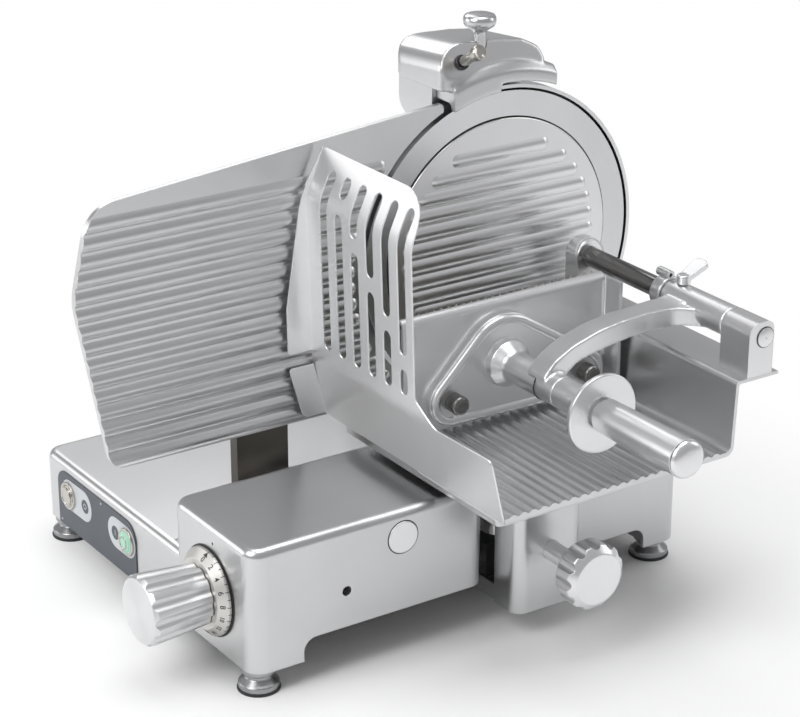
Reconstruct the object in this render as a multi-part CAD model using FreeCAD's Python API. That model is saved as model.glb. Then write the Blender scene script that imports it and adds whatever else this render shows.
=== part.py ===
import FreeCAD
import Part
import math
import os

# Vertical meat slicer with a food carriage that is pushed by hand.
# Sizes are in mm. Every part is laid out from the blade centre: X along the carriage travel,
# Y to the rear from the cutting plane, Z up. Saving moves the slicer onto the bench.

V = FreeCAD.Vector
ALONG_X = V(1, 0, 0)
ALONG_Y = V(0, 1, 0)
ALONG_Z = V(0, 0, 1)

# Fits
RUN_GAP = 0.05            # radial gap of a shaft that turns or slides in a bore
FREE_GAP = 0.6            # gap between parts that pass each other

# Blade, cover and guard ring
BLADE_R = 150.0
BLADE_HEIGHT = 280.0      # blade axis above the bench
BLADE_BACK = 8.0          # rear face of the blade behind the cutting plane
EDGE_BAND = 26.0          # blade face left open around the cover
COVER_R = BLADE_R - EDGE_BAND
COVER_GAP = 1.5
COVER_BACK = 2.5
RIM_GAP = 2.5             # blade edge to guard rim
RIM_WALL = 3.5
RIM_FRONT = -1.0
RING_FRONT = 11.0
RIB_PITCH = 15.7
RIB_W = 13.0
COVER_RIB_TOP = 92.0
COVER_RIB_H = 2.2
COVER_RIB_INSET = 20.0

# Head behind the blade, with the belt drive
HEAD_FRONT = 15.0
HEAD_BACK = 88.0
HEAD_INSET = 45.0         # head inside the blade edge
HEAD_R = BLADE_R - HEAD_INSET
HEAD_FOOT_HALF = 60.0
HEAD_CORNER = 6.0
HEAD_WALL = 5.0
COVER_PLATE = 4.0
SHAFT_R = 10.0
TIE_R = 4.0
BEARING_R = 23.5
BEARING_W = 14.0
BIG_PULLEY_R = 75.0
SMALL_PULLEY_R = 18.0
PULLEY_FRONT = 54.0
PULLEY_W = 18.0
BELT_T = 3.0
MOTOR_HIGH = 61.0         # motor axis above the deck
MOTOR_R = 48.0
MOTOR_LONG = 88.0
MOTOR_SHAFT_R = 7.0
MOTOR_HOUSING_HALF = 64.0
MOTOR_HOUSING_RISE = 64.0 # housing top above the motor axis
MOTOR_HOUSING_LONG = 104.0
SHEET = 3.0

# Base casting
FOOT_H = 22.0
FOOT_R = 18.0
BASE_LEFT = -382.0
BASE_RIGHT = 88.0
BASE_BACK = 211.0
BOX_FRONT = -181.5
BOX_BACK = -45.0
BOX_RIGHT = -140.0
SLOT_WIDE = 13.0
HOUSING_FRONT = -174.0
HOUSING_BACK = -25.0
HOUSING_DROP = 5.0        # right housing below the guard ring, as a gap
DECK_FRONT = -145.0
DECK_HIGH = 89.0          # low deck above the bench
SKIRT_HIGH = 43.0         # lower edge of the skirt above the bench
ARCH_LEFT = -331.0
ARCH_RIGHT = 46.0
BASE_WALL = 4.0
BASE_CORNER = 16.0
BASE_EDGE = 8.0
COVE_R = 12.0
CAP_R = 15.0
CAP_X = -229.7
CAP_DROP = 25.0
PORT_R = 4.5
PORT_X = -287.4
PORT_HIGH = 77.4
GLAND_X = -40.0
GLAND_HIGH = 60.0
GLAND_LONG = 9.0

# Guide bars under the base
BAR_R = 8.0
BAR_Y = -153.0
BAR_HIGH = 55.0
REAR_BAR_R = 5.0
REAR_BAR_Y = -110.0
REAR_BAR_HIGH = 34.0

# Thickness dial
DIAL_Y = -111.0
DIAL_HIGH = 75.0
DIAL_SHAFT_R = 6.0
DIAL_RING_R = 40.0
DIAL_RING_LONG = 10.0
KNOB_LONG = 58.0
KNOB_R_IN = 27.5
KNOB_R_OUT = 32.0
KNOB_FLUTES = 12
CAM_X = -236.0
CAM_WIDE = 8.0
CAM_LOW_R = 10.0
GAUGE_TRAVEL = 15.0
DIAL_TURN = 300.0
ROLLER_R = 6.0

# Gauge plate and its slide
GAUGE_CREST = -0.5
GAUGE_RIB_H = 2.5
GAUGE_T = 5.0
GAUGE_CUT_GAP = 3.5
GAUGE_CUT_R = BLADE_R + GAUGE_CUT_GAP
GAUGE_RIBS = 15
GAUGE_RIB_TOP = 100.0
NOTCH_GAP = 4.0           # gauge plate beside the sharpener flange
POST_X = -256.0
POST_WIDE = 54.0
POST_Y = 10.0
POST_T = 12.0
SLIDE_R = 6.0
SLIDE_HIGH = 48.0

# Sharpener
SHARP_LEFT = -68.0
SHARP_RIGHT = 49.0
SHARP_FRONT = -4.0
SHARP_BACK = 80.0
SHARP_BOTTOM = BLADE_R + 13.0
SHARP_TALL = 42.0
SHARP_WALL = 10.0
FLANGE_HALF = 58.5
FLANGE_FRONT = -10.0
FLANGE_GAP = 2.0          # flange outside the blade edge and the guard ring
FLANGE_TALL = 20.0
LEDGE = 6.0
SEAT_BACK = 22.0          # behind the gauge plate at its rear stop
NECK_DROP = 49.0
NECK_ROUND = 32.0
GRIND_X = -18.0
GRIND_Y = 10.0
GRIND_Z = BLADE_R + 16.0
GRIND_R = 9.0
SPINDLE_R = 6.3
AXLE_R = 1.5
DEBURR_X = -44.5
DEBURR_Z = BLADE_R + 34.5
DEBURR_TILT = 30.0
DEBURR_R = 5.0

# Carriage tray, guard and arm
TRAY_LEFT = -197.0
TRAY_RIGHT = 53.0
TRAY_FRONT = -283.0
TRAY_BACK = -6.0
TRAY_BOTTOM = -122.5
TRAY_T = 4.0
HEM_R = 3.2
TRAY_RIB_PITCH = 10.5
TRAY_RIB_H = 1.8
SIDE_TOP = -52.5
FLANGE_RIGHT = 101.0
GUARD_T = 3.0
GUARD_TOP = 134.0
GUARD_FRONT = -171.8
GUARD_BACK = -5.0
SLOT_W = 9.5
SLOT_PITCH = 24.4
SLOT_COUNT = 6
PLATFORM_T = 14.5
CARRIAGE_GAP = 5.0        # platform above the raised box
ARM_LEFT = -135.0
ARM_RIGHT = -62.0
ARM_T = 34.0
HOOK_T = 15.0
LOCK_X = -98.0
LOCK_HIGH = 80.0
LOCK_R = 30.5
STUD_R = 9.0

# Rod, bush and press arm
ROD_R = 9.5
ROD_X = 83.0
ROD_Z = -17.0
BRACKET_FRONT = -46.0
BRACKET_BACK = -18.0
BRACKET_HALF = 17.0
ROD_END = -20.0
BUSH_R = 11.5
HUB_R = 14.5
LEVER_Y = -170.0
LEVER_PIN_R = 3.5
HANDLE_X = -75.0
HANDLE_Z = -61.0
NECK_R = 14.5
PRESS_FRONT = -203.0
PRESS_BACK = -178.0
PLATE_FRONT = -108.0
PLATE_T = 3.5
PLATE_LEFT = -180.0
PLATE_RIGHT = 46.0
PLATE_TOP = -3.0
PLATE_BOTTOM = -115.0
BOSS_T = 8.0
PIN_R = 9.0
DISC_R = 36.0
DISC_FRONT = -258.0
GRIP_GAP = 3.0            # neck between the disc and the grip
GRIP_R_IN = 15.5
GRIP_R_OUT = 17.0
GRIP_END = -375.0

# Buttons
PANEL_FRONT = 24.0
PANEL_BACK = 180.0
PANEL_HIGH = 23.0
PANEL_TALL = 57.0
BUTTON_R = 11.0
BUTTON_HIGH = 58.5
START_Y = 40.0
STOP_Y = 157.0

# Places that follow from the sizes above
BENCH = -BLADE_HEIGHT
BASE_BOTTOM = BENCH + FOOT_H
DECK_TOP = BENCH + DECK_HIGH
SKIRT = BENCH + SKIRT_HIGH
RING_R = BLADE_R + RIM_GAP + RIM_WALL
HOUSING_TOP = -RING_R - HOUSING_DROP - 4.0
PLATFORM_BOTTOM = TRAY_BOTTOM - PLATFORM_T
BOX_TOP = PLATFORM_BOTTOM - CARRIAGE_GAP
BAR_Z = BENCH + BAR_HIGH
REAR_BAR_Z = BENCH + REAR_BAR_HIGH
DIAL_Z = BENCH + DIAL_HIGH
SLIDE_Z = BENCH + SLIDE_HIGH
BUTTON_Z = BENCH + BUTTON_HIGH
LOCK_Z = BENCH + LOCK_HIGH
GUIDE_BLOCK_TOP = BAR_Z + BAR_R + 3.5
HOOK_TOP = SKIRT - 4.0
HOOK_BOTTOM = HOOK_TOP - HOOK_T
ARM_FRONT = BOX_FRONT - 4.5 - ARM_T
ARM_BACK = ARM_FRONT + ARM_T
GAUGE_FACE = GAUGE_CREST + GAUGE_RIB_H
GAUGE_REAR = GAUGE_FACE + GAUGE_T
BACK_PLATE = HEAD_BACK + COVER_PLATE
RING_BACK = HEAD_FRONT
MOTOR_Z = DECK_TOP + MOTOR_HIGH
MOTOR_HOUSING_TOP = MOTOR_Z + MOTOR_HOUSING_RISE
SHARP_TOP = SHARP_BOTTOM + SHARP_TALL
TRAY_FLOOR = TRAY_BOTTOM + TRAY_T
BOSS_FRONT = PLATE_FRONT - BOSS_T
KNOB_START = BASE_LEFT - 1 - DIAL_RING_LONG - FREE_GAP
KNOB_END = KNOB_START - KNOB_LONG
GLAND_END = BASE_BACK + GLAND_LONG
ORIGIN = V(-(KNOB_END + RING_R) / 2, -(GRIP_END + GLAND_END) / 2, BLADE_HEIGHT)
PIN_SPOTS = [(-132.0, -87.0), (15.5, -91.5)]
FEET = {
    "foot_front_left": (-366.0, -163.0),
    "foot_front_right": (72.0, -151.0),
    "foot_rear_left": (-366.0, 191.0),
    "foot_rear_right": (72.0, 191.0),
}


# ---- shape helpers -----------------------------------------------------------------

def xz(y):
    return lambda u, v: V(u, y, v)


def yz(x):
    return lambda u, v: V(x, u, v)


def xy(z):
    return lambda u, v: V(u, v, z)


def box(x0, x1, y0, y1, z0, z1):
    return Part.makeBox(x1 - x0, y1 - y0, z1 - z0, V(x0, y0, z0))


def bar(radius, start, end):
    run = end.sub(start)
    return Part.makeCylinder(radius, run.Length, start, run)


def tube(outer, inner, start, end):
    return bar(outer, start, end).cut(bar(inner, start, end))


def fused(shapes):
    whole = shapes[0]
    for shape in shapes[1:]:
        whole = whole.fuse(shape)
    return whole.removeSplitter()


def join_edges(start, end):
    if start.distanceToPoint(end) < 1e-6:
        return []
    return [Part.makeLine(start, end)]


def outline(corners, lift):
    """Closed wire through (u, v) or (u, v, rounding) corners."""
    spots = [lift(corner[0], corner[1]) for corner in corners]
    rounds = [corner[2] if len(corner) > 2 else 0.0 for corner in corners]
    starts, middles, ends = [], [], []
    for i, spot in enumerate(spots):
        back = spots[i - 1].sub(spot).normalize()
        ahead = spots[(i + 1) % len(spots)].sub(spot).normalize()
        half = back.getAngle(ahead) / 2
        reach = rounds[i] / math.tan(half)
        depth = rounds[i] / math.sin(half) - rounds[i]
        starts.append(spot.add(back * reach))
        ends.append(spot.add(ahead * reach))
        middles.append(spot.add(back.add(ahead).normalize() * depth))
    edges = []
    for i in range(len(spots)):
        if rounds[i] > 0:
            edges.append(Part.Arc(starts[i], middles[i], ends[i]).toShape())
        edges += join_edges(ends[i], starts[(i + 1) % len(spots)])
    return Part.Wire(edges)


def hull(circles, lift):
    """Closed wire around (u, v, radius) circles, given anticlockwise."""
    normals = []
    for i, here in enumerate(circles):
        there = circles[(i + 1) % len(circles)]
        du, dv = there[0] - here[0], there[1] - here[1]
        long = math.hypot(du, dv)
        side = math.asin((here[2] - there[2]) / long)
        normals.append(math.atan2(dv, du) - math.pi / 2 + side)
    edges = []
    last = []
    for i, (u, v, r) in enumerate(circles):
        first, final = normals[i - 1], normals[i]
        while final < first:
            final += 2 * math.pi
        turn = [first, (first + final) / 2, final]
        arc = [lift(u + r * math.cos(a), v + r * math.sin(a)) for a in turn]
        last.append(arc)
    for i, arc in enumerate(last):
        edges.append(Part.Arc(*arc).toShape())
        edges += join_edges(arc[2], last[(i + 1) % len(last)][0])
    return Part.Wire(edges)


def prism(wire, run):
    return Part.Face(wire).extrude(run)


def slab_xz(corners, y0, y1):
    return prism(outline(corners, xz(y0)), V(0, y1 - y0, 0))


def slab_yz(corners, x0, x1):
    return prism(outline(corners, yz(x0)), V(x1 - x0, 0, 0))


def slab_xy(corners, z0, z1):
    return prism(outline(corners, xy(z0)), V(0, 0, z1 - z0))


def pill(u0, u1, v0, v1):
    r = min(u1 - u0, v1 - v0) / 2
    return [(u0, v0, r), (u1, v0, r), (u1, v1, r), (u0, v1, r)]


def turned(profile, at, axis):
    """Revolved solid; the profile holds (radius, distance along axis, rounding) corners."""
    wire = outline(profile, xz(0))
    shape = Part.Face(wire).revolve(V(0, 0, 0), ALONG_Z, 360)
    shape.Placement = FreeCAD.Placement(at, FreeCAD.Rotation(ALONG_Z, axis))
    return shape


def edges_at(shape, axis, level):
    return [edge for edge in shape.Edges
            if all(abs(getattr(end.Point, axis) - level) < 1e-4 for end in edge.Vertexes)]


def around(shape, count, at, axis):
    copies = []
    for i in range(count):
        copy = shape.copy()
        copy.rotate(at, axis, 360.0 * i / count)
        copies.append(copy)
    return copies


# ---- base --------------------------------------------------------------------------

def casting_block(x0, x1, y0, y1, z1, inset):
    """Block with rounded corners and a rounded top rim; inset gives the hollow of it."""
    corner = BASE_CORNER - inset
    edge = BASE_EDGE - inset
    u0, u1, v0, v1 = x0 + inset, x1 - inset, y0 + inset, y1 - inset
    corners = [(u0, v0, corner), (u1, v0, corner), (u1, v1, corner), (u0, v1, corner)]
    bottom = BASE_BOTTOM - inset
    block = slab_xy(corners, bottom, z1 - inset)
    return block.makeFillet(edge, edges_at(block, "z", z1 - inset))


def base_blocks(inset):
    front = casting_block(BASE_LEFT, BOX_RIGHT, BOX_FRONT, BOX_BACK, BOX_TOP, inset)
    deck = casting_block(BASE_LEFT, BASE_RIGHT, DECK_FRONT, BASE_BACK, DECK_TOP, inset)
    slot_end = BOX_RIGHT + SLOT_WIDE
    right = casting_block(slot_end, BASE_RIGHT, HOUSING_FRONT, HOUSING_BACK, HOUSING_TOP, inset)
    return fused([front, deck, right])


def cove():
    """Hollow rounding between the deck and the raised box."""
    x0, x1 = BASE_LEFT + BASE_EDGE, BOX_RIGHT - BASE_CORNER
    corner = box(x0, x1, BOX_BACK - 1, BOX_BACK + COVE_R, DECK_TOP - 1, DECK_TOP + COVE_R)
    y, z = BOX_BACK + COVE_R, DECK_TOP + COVE_R
    return corner.cut(bar(COVE_R, V(x0, y, z), V(x1, y, z)))


def guide_block(x0, x1):
    """Solid leg core that carries the ends of both guide bars."""
    return box(x0, x1, BOX_FRONT + 3, REAR_BAR_Y + 12, BASE_BOTTOM, GUIDE_BLOCK_TOP)


def foot_block(x0, x1):
    return box(x0, x1, BASE_BACK - 50, BASE_BACK - 3, BASE_BOTTOM, BASE_BOTTOM + 17)


def arch():
    """Opening under the skirt, from front to rear."""
    low = BASE_BOTTOM - 30
    corners = [(ARCH_LEFT, low), (ARCH_RIGHT, low), (ARCH_RIGHT, SKIRT, 12), (ARCH_LEFT, SKIRT, 12)]
    return slab_xz(corners, BOX_FRONT - 10, BASE_BACK + 10)


def slider_channel():
    """Way for the slide block through the walls beside the slot."""
    return box(BOX_RIGHT - 10, BOX_RIGHT + SLOT_WIDE + 10, BOX_FRONT + BASE_WALL + 1.5, REAR_BAR_Y + 13,
               BASE_BOTTOM - 5, BAR_Z + 25)


def bar_bores():
    left, right = ARCH_LEFT - 35, ARCH_RIGHT + 25
    main = bar(BAR_R, V(left, BAR_Y, BAR_Z), V(right, BAR_Y, BAR_Z))
    rear = bar(REAR_BAR_R, V(left, REAR_BAR_Y, REAR_BAR_Z), V(right, REAR_BAR_Y, REAR_BAR_Z))
    return [main, rear]


def panel_bores():
    outer, inner = BASE_LEFT - 1, BASE_LEFT + BASE_WALL + 1
    return [bar(BUTTON_R + 1.5, V(outer, y, BUTTON_Z), V(inner, y, BUTTON_Z)) for y in (START_Y, STOP_Y)]


def base_casting():
    outer = base_blocks(0)
    shell = outer.cut(base_blocks(BASE_WALL))
    cores = [guide_block(BASE_LEFT + 3, ARCH_LEFT - 7), guide_block(ARCH_RIGHT + 7, BASE_RIGHT - 3)]
    cores += [foot_block(BASE_LEFT + 3, ARCH_LEFT - 7), foot_block(ARCH_RIGHT + 2, BASE_RIGHT - 3)]
    cores.append(bar(20, V(BASE_LEFT + 1, DIAL_Y, DIAL_Z), V(BASE_LEFT + 22, DIAL_Y, DIAL_Z)))
    solid = fused([shell, cove()] + [core.common(outer) for core in cores])
    cuts = [arch(), slider_channel()] + bar_bores() + panel_bores()
    cuts.append(bar(12, V(BASE_LEFT - 1, DIAL_Y, DIAL_Z), V(BASE_LEFT + 25, DIAL_Y, DIAL_Z)))
    cap_z, port_z = BOX_TOP - CAP_DROP, BENCH + PORT_HIGH
    cuts.append(bar(CAP_R, V(CAP_X, BOX_FRONT - 1, cap_z), V(CAP_X, BOX_FRONT + 6, cap_z)))
    cuts.append(bar(PORT_R, V(PORT_X, BOX_FRONT - 1, port_z), V(PORT_X, BOX_FRONT + 6, port_z)))
    gland_z = BENCH + GLAND_HIGH
    cuts.append(bar(6, V(GLAND_X, BASE_BACK - 8, gland_z), V(GLAND_X, BASE_BACK + 1, gland_z)))
    post_reach = POST_Y + POST_T + GAUGE_TRAVEL + 3
    cuts.append(box(POST_X - POST_WIDE / 2 - 3, POST_X + POST_WIDE / 2 + 3, POST_Y - 3, post_reach,
                    DECK_TOP - 10, DECK_TOP + 5))
    for cut in cuts:
        solid = solid.cut(cut)
    return solid


def foot(spot):
    profile = [(0, 0), (FOOT_R, 0, 2), (FOOT_R, 7, 2), (11.5, 12, 2), (11.5, 15, 1), (15, 17, 1),
               (15, FOOT_H), (0, FOOT_H)]
    return turned(profile, V(spot[0], spot[1], BENCH), ALONG_Z)


def guide_bar(radius, y, z):
    return bar(radius, V(ARCH_LEFT - 35, y, z), V(ARCH_RIGHT + 25, y, z))


def dial_bushing():
    return tube(12, DIAL_SHAFT_R + RUN_GAP, V(BASE_LEFT, DIAL_Y, DIAL_Z), V(BASE_LEFT + 25, DIAL_Y, DIAL_Z))


def access_cap():
    profile = [(0, 0), (CAP_R, 0, 1), (CAP_R, 6), (0, 6)]
    return turned(profile, V(CAP_X, BOX_FRONT - 1.2, BOX_TOP - CAP_DROP), ALONG_Y)


def cable_gland():
    profile = [(4, -10), (6, -10), (6, 0), (10, 0, 1), (10, 5), (8, 5), (8, GLAND_LONG, 1), (4, GLAND_LONG)]
    return turned(profile, V(GLAND_X, BASE_BACK, BENCH + GLAND_HIGH), ALONG_Y)


def control_panel():
    z0 = BENCH + PANEL_HIGH
    z1 = z0 + PANEL_TALL
    corners = [(PANEL_FRONT, z0, 1), (PANEL_BACK, z0, 1), (PANEL_BACK, z1, 15), (PANEL_FRONT, z1, 18)]
    plate = slab_yz(corners, BASE_LEFT - 1, BASE_LEFT)
    for hole in panel_bores():
        plate = plate.cut(hole)
    return plate


def button_bezel(y):
    """Bezel with a closed cup behind it that guides the button."""
    bore = BUTTON_R + RUN_GAP
    profile = [(bore, 0), (BUTTON_R + 2.5, 0, 0.8), (BUTTON_R + 2.5, 2.5), (BUTTON_R + 1.5, 2.5),
               (BUTTON_R + 1.5, 24), (0, 24), (0, 14), (bore, 14)]
    return turned(profile, V(BASE_LEFT - 3.5, y, BUTTON_Z), ALONG_X)


def push_button(y):
    profile = [(0, 0), (BUTTON_R, 0, 1.2), (BUTTON_R, 10), (0, 10)]
    return turned(profile, V(BASE_LEFT - 4, y, BUTTON_Z), ALONG_X)


# ---- head, drive and blade ---------------------------------------------------------

def head_outline(inset, y):
    foot_z = DECK_TOP + HEAD_CORNER
    r = max(HEAD_CORNER - inset, 1.0)
    low = foot_z if inset == 0 else DECK_TOP + inset + r
    half = HEAD_FOOT_HALF if inset == 0 else HEAD_FOOT_HALF + HEAD_CORNER - inset - r
    return hull([(-half, low, r), (half, low, r), (0, 0, HEAD_R - inset)], xz(y))


def head_casting():
    body = prism(head_outline(0, HEAD_FRONT), V(0, HEAD_BACK - HEAD_FRONT, 0))
    hollow = prism(head_outline(HEAD_WALL, HEAD_FRONT + HEAD_WALL), V(0, HEAD_BACK, 0))
    boss = bar(BEARING_R + 6.5, V(0, HEAD_FRONT, 0), V(0, HEAD_FRONT + 35, 0))
    head = fused([body, sharpener_neck()]).cut(hollow).fuse(boss)
    return head.cut(bar(BEARING_R, V(0, HEAD_FRONT - 1, 0), V(0, HEAD_FRONT + 36, 0))).removeSplitter()


def sharpener_neck():
    """Rounded lobe on top of the head that carries the sharpener."""
    left, right = SHARP_LEFT + 6, SHARP_RIGHT - 22
    low = SHARP_BOTTOM - NECK_DROP
    corners = [(left, SHARP_BOTTOM), (left, low, NECK_ROUND), (0, low - 10), (right, low - 10),
               (right, SHARP_BOTTOM)]
    return slab_xz(corners, SEAT_BACK, SHARP_BACK - 4)


def rear_cover():
    plate = prism(head_outline(0, HEAD_BACK), V(0, COVER_PLATE, 0))
    plate = plate.cut(bar(TIE_R, V(0, HEAD_BACK - 1, 0), V(0, BACK_PLATE + 1, 0)))
    return plate.cut(bar(16, V(0, HEAD_BACK - 1, MOTOR_Z), V(0, BACK_PLATE + 1, MOTOR_Z)))


def motor_housing_block(inset):
    half = MOTOR_HOUSING_HALF - inset
    top = MOTOR_HOUSING_TOP - inset
    low = DECK_TOP - inset
    corners = [(-half, low), (half, low), (half, top, 24 - inset), (-half, top, 24 - inset)]
    block = slab_xz(corners, BACK_PLATE - inset, BACK_PLATE + MOTOR_HOUSING_LONG - inset)
    return block.makeFillet(10 - inset, edges_at(block, "y", BACK_PLATE + MOTOR_HOUSING_LONG - inset)[1:])


def motor_housing():
    outer = motor_housing_block(0)
    below = box(-200, 200, 0, 300, DECK_TOP - 40, DECK_TOP)
    return outer.cut(motor_housing_block(SHEET)).cut(below)


def drive_motor():
    start = V(0, BACK_PLATE, MOTOR_Z)
    body = bar(MOTOR_R, start, V(0, BACK_PLATE + MOTOR_LONG, MOTOR_Z))
    stand = box(-30, 30, BACK_PLATE + 10, BACK_PLATE + MOTOR_LONG - 10, DECK_TOP, MOTOR_Z - 20)
    bore = bar(MOTOR_SHAFT_R + RUN_GAP, start, V(0, BACK_PLATE + 50, MOTOR_Z))
    return body.fuse(stand).removeSplitter().cut(bore)


def motor_rotor():
    """Motor shaft with the small pulley on it."""
    shaft = bar(MOTOR_SHAFT_R, V(0, PULLEY_FRONT - 3, MOTOR_Z), V(0, BACK_PLATE + 47, MOTOR_Z))
    pulley = bar(SMALL_PULLEY_R, V(0, PULLEY_FRONT, MOTOR_Z), V(0, PULLEY_FRONT + PULLEY_W, MOTOR_Z))
    return fused([shaft, pulley])


def drive_belt():
    gap = 0.3
    ends = [(0, 0, BIG_PULLEY_R + gap), (0, MOTOR_Z, SMALL_PULLEY_R + gap)]
    thick = [(u, v, r + BELT_T) for u, v, r in ends]
    run = V(0, PULLEY_W - 4, 0)
    return prism(hull(thick, xz(PULLEY_FRONT + 2)), run).cut(prism(hull(ends, xz(PULLEY_FRONT + 2)), run))


def blade_bearings():
    rings = []
    for y in (HEAD_FRONT, HEAD_FRONT + 35 - BEARING_W):
        rings.append(tube(BEARING_R, SHAFT_R + RUN_GAP, V(0, y, 0), V(0, y + BEARING_W, 0)))
    return Part.makeCompound(rings)


def blade_shaft():
    end = PULLEY_FRONT + PULLEY_W + 4
    flange_back = HEAD_FRONT - 2.5
    profile = [(TIE_R + 1, BLADE_BACK - 4), (12, BLADE_BACK - 4), (12, BLADE_BACK), (38, BLADE_BACK, 0.6),
               (38, flange_back, 0.6), (SHAFT_R, flange_back), (SHAFT_R, end), (TIE_R + 1, end)]
    shaft = turned(profile, V(0, 0, 0), ALONG_Y)
    for screw in screw_bars(3.0):
        shaft = shaft.cut(screw)
    return shaft


def screw_bars(radius):
    first = bar(radius, V(28, COVER_BACK + 1.2, 0), V(28, HEAD_FRONT - 2.5, 0))
    return around(first, 3, V(0, 0, 0), ALONG_Y)


def blade():
    recess = COVER_BACK + 1
    step = COVER_R + COVER_GAP
    profile = [(12, recess), (step, recess), (step, 1.0), (BLADE_R, 0), (BLADE_R, 0.5), (BLADE_R - 20, 7),
               (60, BLADE_BACK), (12, BLADE_BACK)]
    disc = turned(profile, V(0, 0, 0), ALONG_Y)
    for screw in screw_bars(3.0):
        disc = disc.cut(screw)
    return disc


def blade_pulley():
    y0, y1 = PULLEY_FRONT, PULLEY_FRONT + PULLEY_W
    profile = [(SHAFT_R, y0 - 2), (20, y0 - 2), (20, y0 + 6), (66, y0 + 6), (66, y0), (BIG_PULLEY_R, y0),
               (BIG_PULLEY_R, y1), (66, y1), (66, y0 + 12), (20, y0 + 12), (20, y1), (SHAFT_R, y1)]
    wheel = turned(profile, V(0, 0, 0), ALONG_Y)
    for hole in around(bar(13, V(43, y0, 0), V(43, y1, 0)), 6, V(0, 0, 0), ALONG_Y):
        wheel = wheel.cut(hole)
    return wheel


def pressed_rib(x0, x1, z, crest, height, width):
    """Long rib with round ends that stands forward of a plate to the crest plane."""
    half = width / 2
    base = crest + height
    arc = Part.Arc(V(x0, base, z - half), V(x0, crest, z), V(x0, base, z + half)).toShape()
    side = Part.Wire([arc, Part.makeLine(V(x0, base, z + half), V(x0, base, z - half))])
    middle = prism(side, V(x1 - x0, 0, 0))
    return fused([middle, rib_end(x0, z, crest, height, half, -1), rib_end(x1, z, crest, height, half, 1)])


def rib_end(x, z, crest, height, half, side):
    """Half dome at one end of a rib; side is -1 at the left end and 1 at the right."""
    base = crest + height
    radius = (half ** 2 + height ** 2) / (2 * height)
    reach = half * 0.55
    depth = crest + radius - math.sqrt(radius ** 2 - reach ** 2)
    rise = Part.Arc(V(x, base, z + side * half), V(x, depth, z + side * reach), V(x, crest, z)).toShape()
    wire = Part.Wire([rise, Part.makeLine(V(x, crest, z), V(x, base, z)),
                      Part.makeLine(V(x, base, z), V(x, base, z + side * half))])
    return Part.Face(wire).revolve(V(x, base, z), ALONG_Y, 180)


def rib_levels(top):
    return [top - RIB_PITCH * i for i in range(GAUGE_RIBS)]


def blade_cover():
    profile = [(0, RIM_FRONT), (COVER_R, RIM_FRONT, 1), (COVER_R, COVER_BACK), (0, COVER_BACK)]
    cover = turned(profile, V(0, 0, 0), ALONG_Y)
    ribs = []
    reach = COVER_R - COVER_RIB_INSET
    for z in rib_levels(COVER_RIB_TOP):
        if abs(z) < reach - 8:
            half = math.sqrt(reach ** 2 - z ** 2)
            ribs.append(pressed_rib(-half, half, z, RIM_FRONT - COVER_RIB_H, COVER_RIB_H, RIB_W))
    return fused([cover] + ribs)


def cover_tie_rod():
    """Rod through the hollow blade shaft that holds the cover, with its knob at the rear."""
    long = BACK_PLATE - COVER_BACK
    profile = [(0, 0), (TIE_R, 0), (TIE_R, long), (9, long), (9, long + 4, 1), (16, long + 7, 2),
               (16, long + 15, 3), (0, long + 15)]
    return turned(profile, V(0, COVER_BACK, 0), ALONG_Y)


def guard_ring():
    inner = RING_R - RIM_WALL
    flange = tube(RING_R, HEAD_R - 7, V(0, RING_FRONT, 0), V(0, RING_BACK, 0))
    rim = tube(RING_R, inner, V(0, RIM_FRONT, 0), V(0, RING_BACK, 0))
    right = box(-5, RING_R + 5, RIM_FRONT - 1, RING_BACK + 1, -RING_R - 5, RING_R + 5)
    return flange.fuse(rim).common(right).removeSplitter()


def slice_deflector():
    flange = tube(BLADE_R - 8, HEAD_R - 15, V(0, RING_FRONT, 0), V(0, RING_BACK, 0))
    lip = tube(BLADE_R - 8, BLADE_R - 11, V(0, RING_FRONT, 0), V(0, HEAD_FRONT + 35, 0))
    left = box(-BLADE_R, -45, 0, HEAD_BACK, -85, 85)
    return flange.fuse(lip).common(left).removeSplitter()


# ---- sharpener ---------------------------------------------------------------------

def deburr_axis():
    tilt = math.radians(DEBURR_TILT)
    return V(0, -math.cos(tilt), math.sin(tilt))


def sharpener_body():
    front_view = [(SHARP_LEFT, SHARP_BOTTOM), (SHARP_RIGHT, SHARP_BOTTOM), (SHARP_RIGHT, SHARP_TOP, 32),
                  (SHARP_LEFT, SHARP_TOP, 20)]
    side_view = [(SHARP_FRONT, SHARP_BOTTOM), (SHARP_BACK, SHARP_BOTTOM), (SHARP_BACK, SHARP_TOP - 14, 8),
                 (SHARP_FRONT + 12, SHARP_TOP + 1, 9), (SHARP_FRONT, SHARP_TOP - 24, 8)]
    across = slab_xz(front_view, SHARP_FRONT - 1, SHARP_BACK + 1)
    plan = [(SHARP_LEFT, SHARP_FRONT), (SHARP_RIGHT, SHARP_FRONT), (SHARP_RIGHT, SHARP_BACK, 34),
            (SHARP_LEFT, SHARP_BACK, 16)]
    along = slab_yz(side_view, SHARP_LEFT - 1, SHARP_RIGHT + 1)
    return across.common(along).common(slab_xy(plan, SHARP_BOTTOM, SHARP_TOP + 1))


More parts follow.
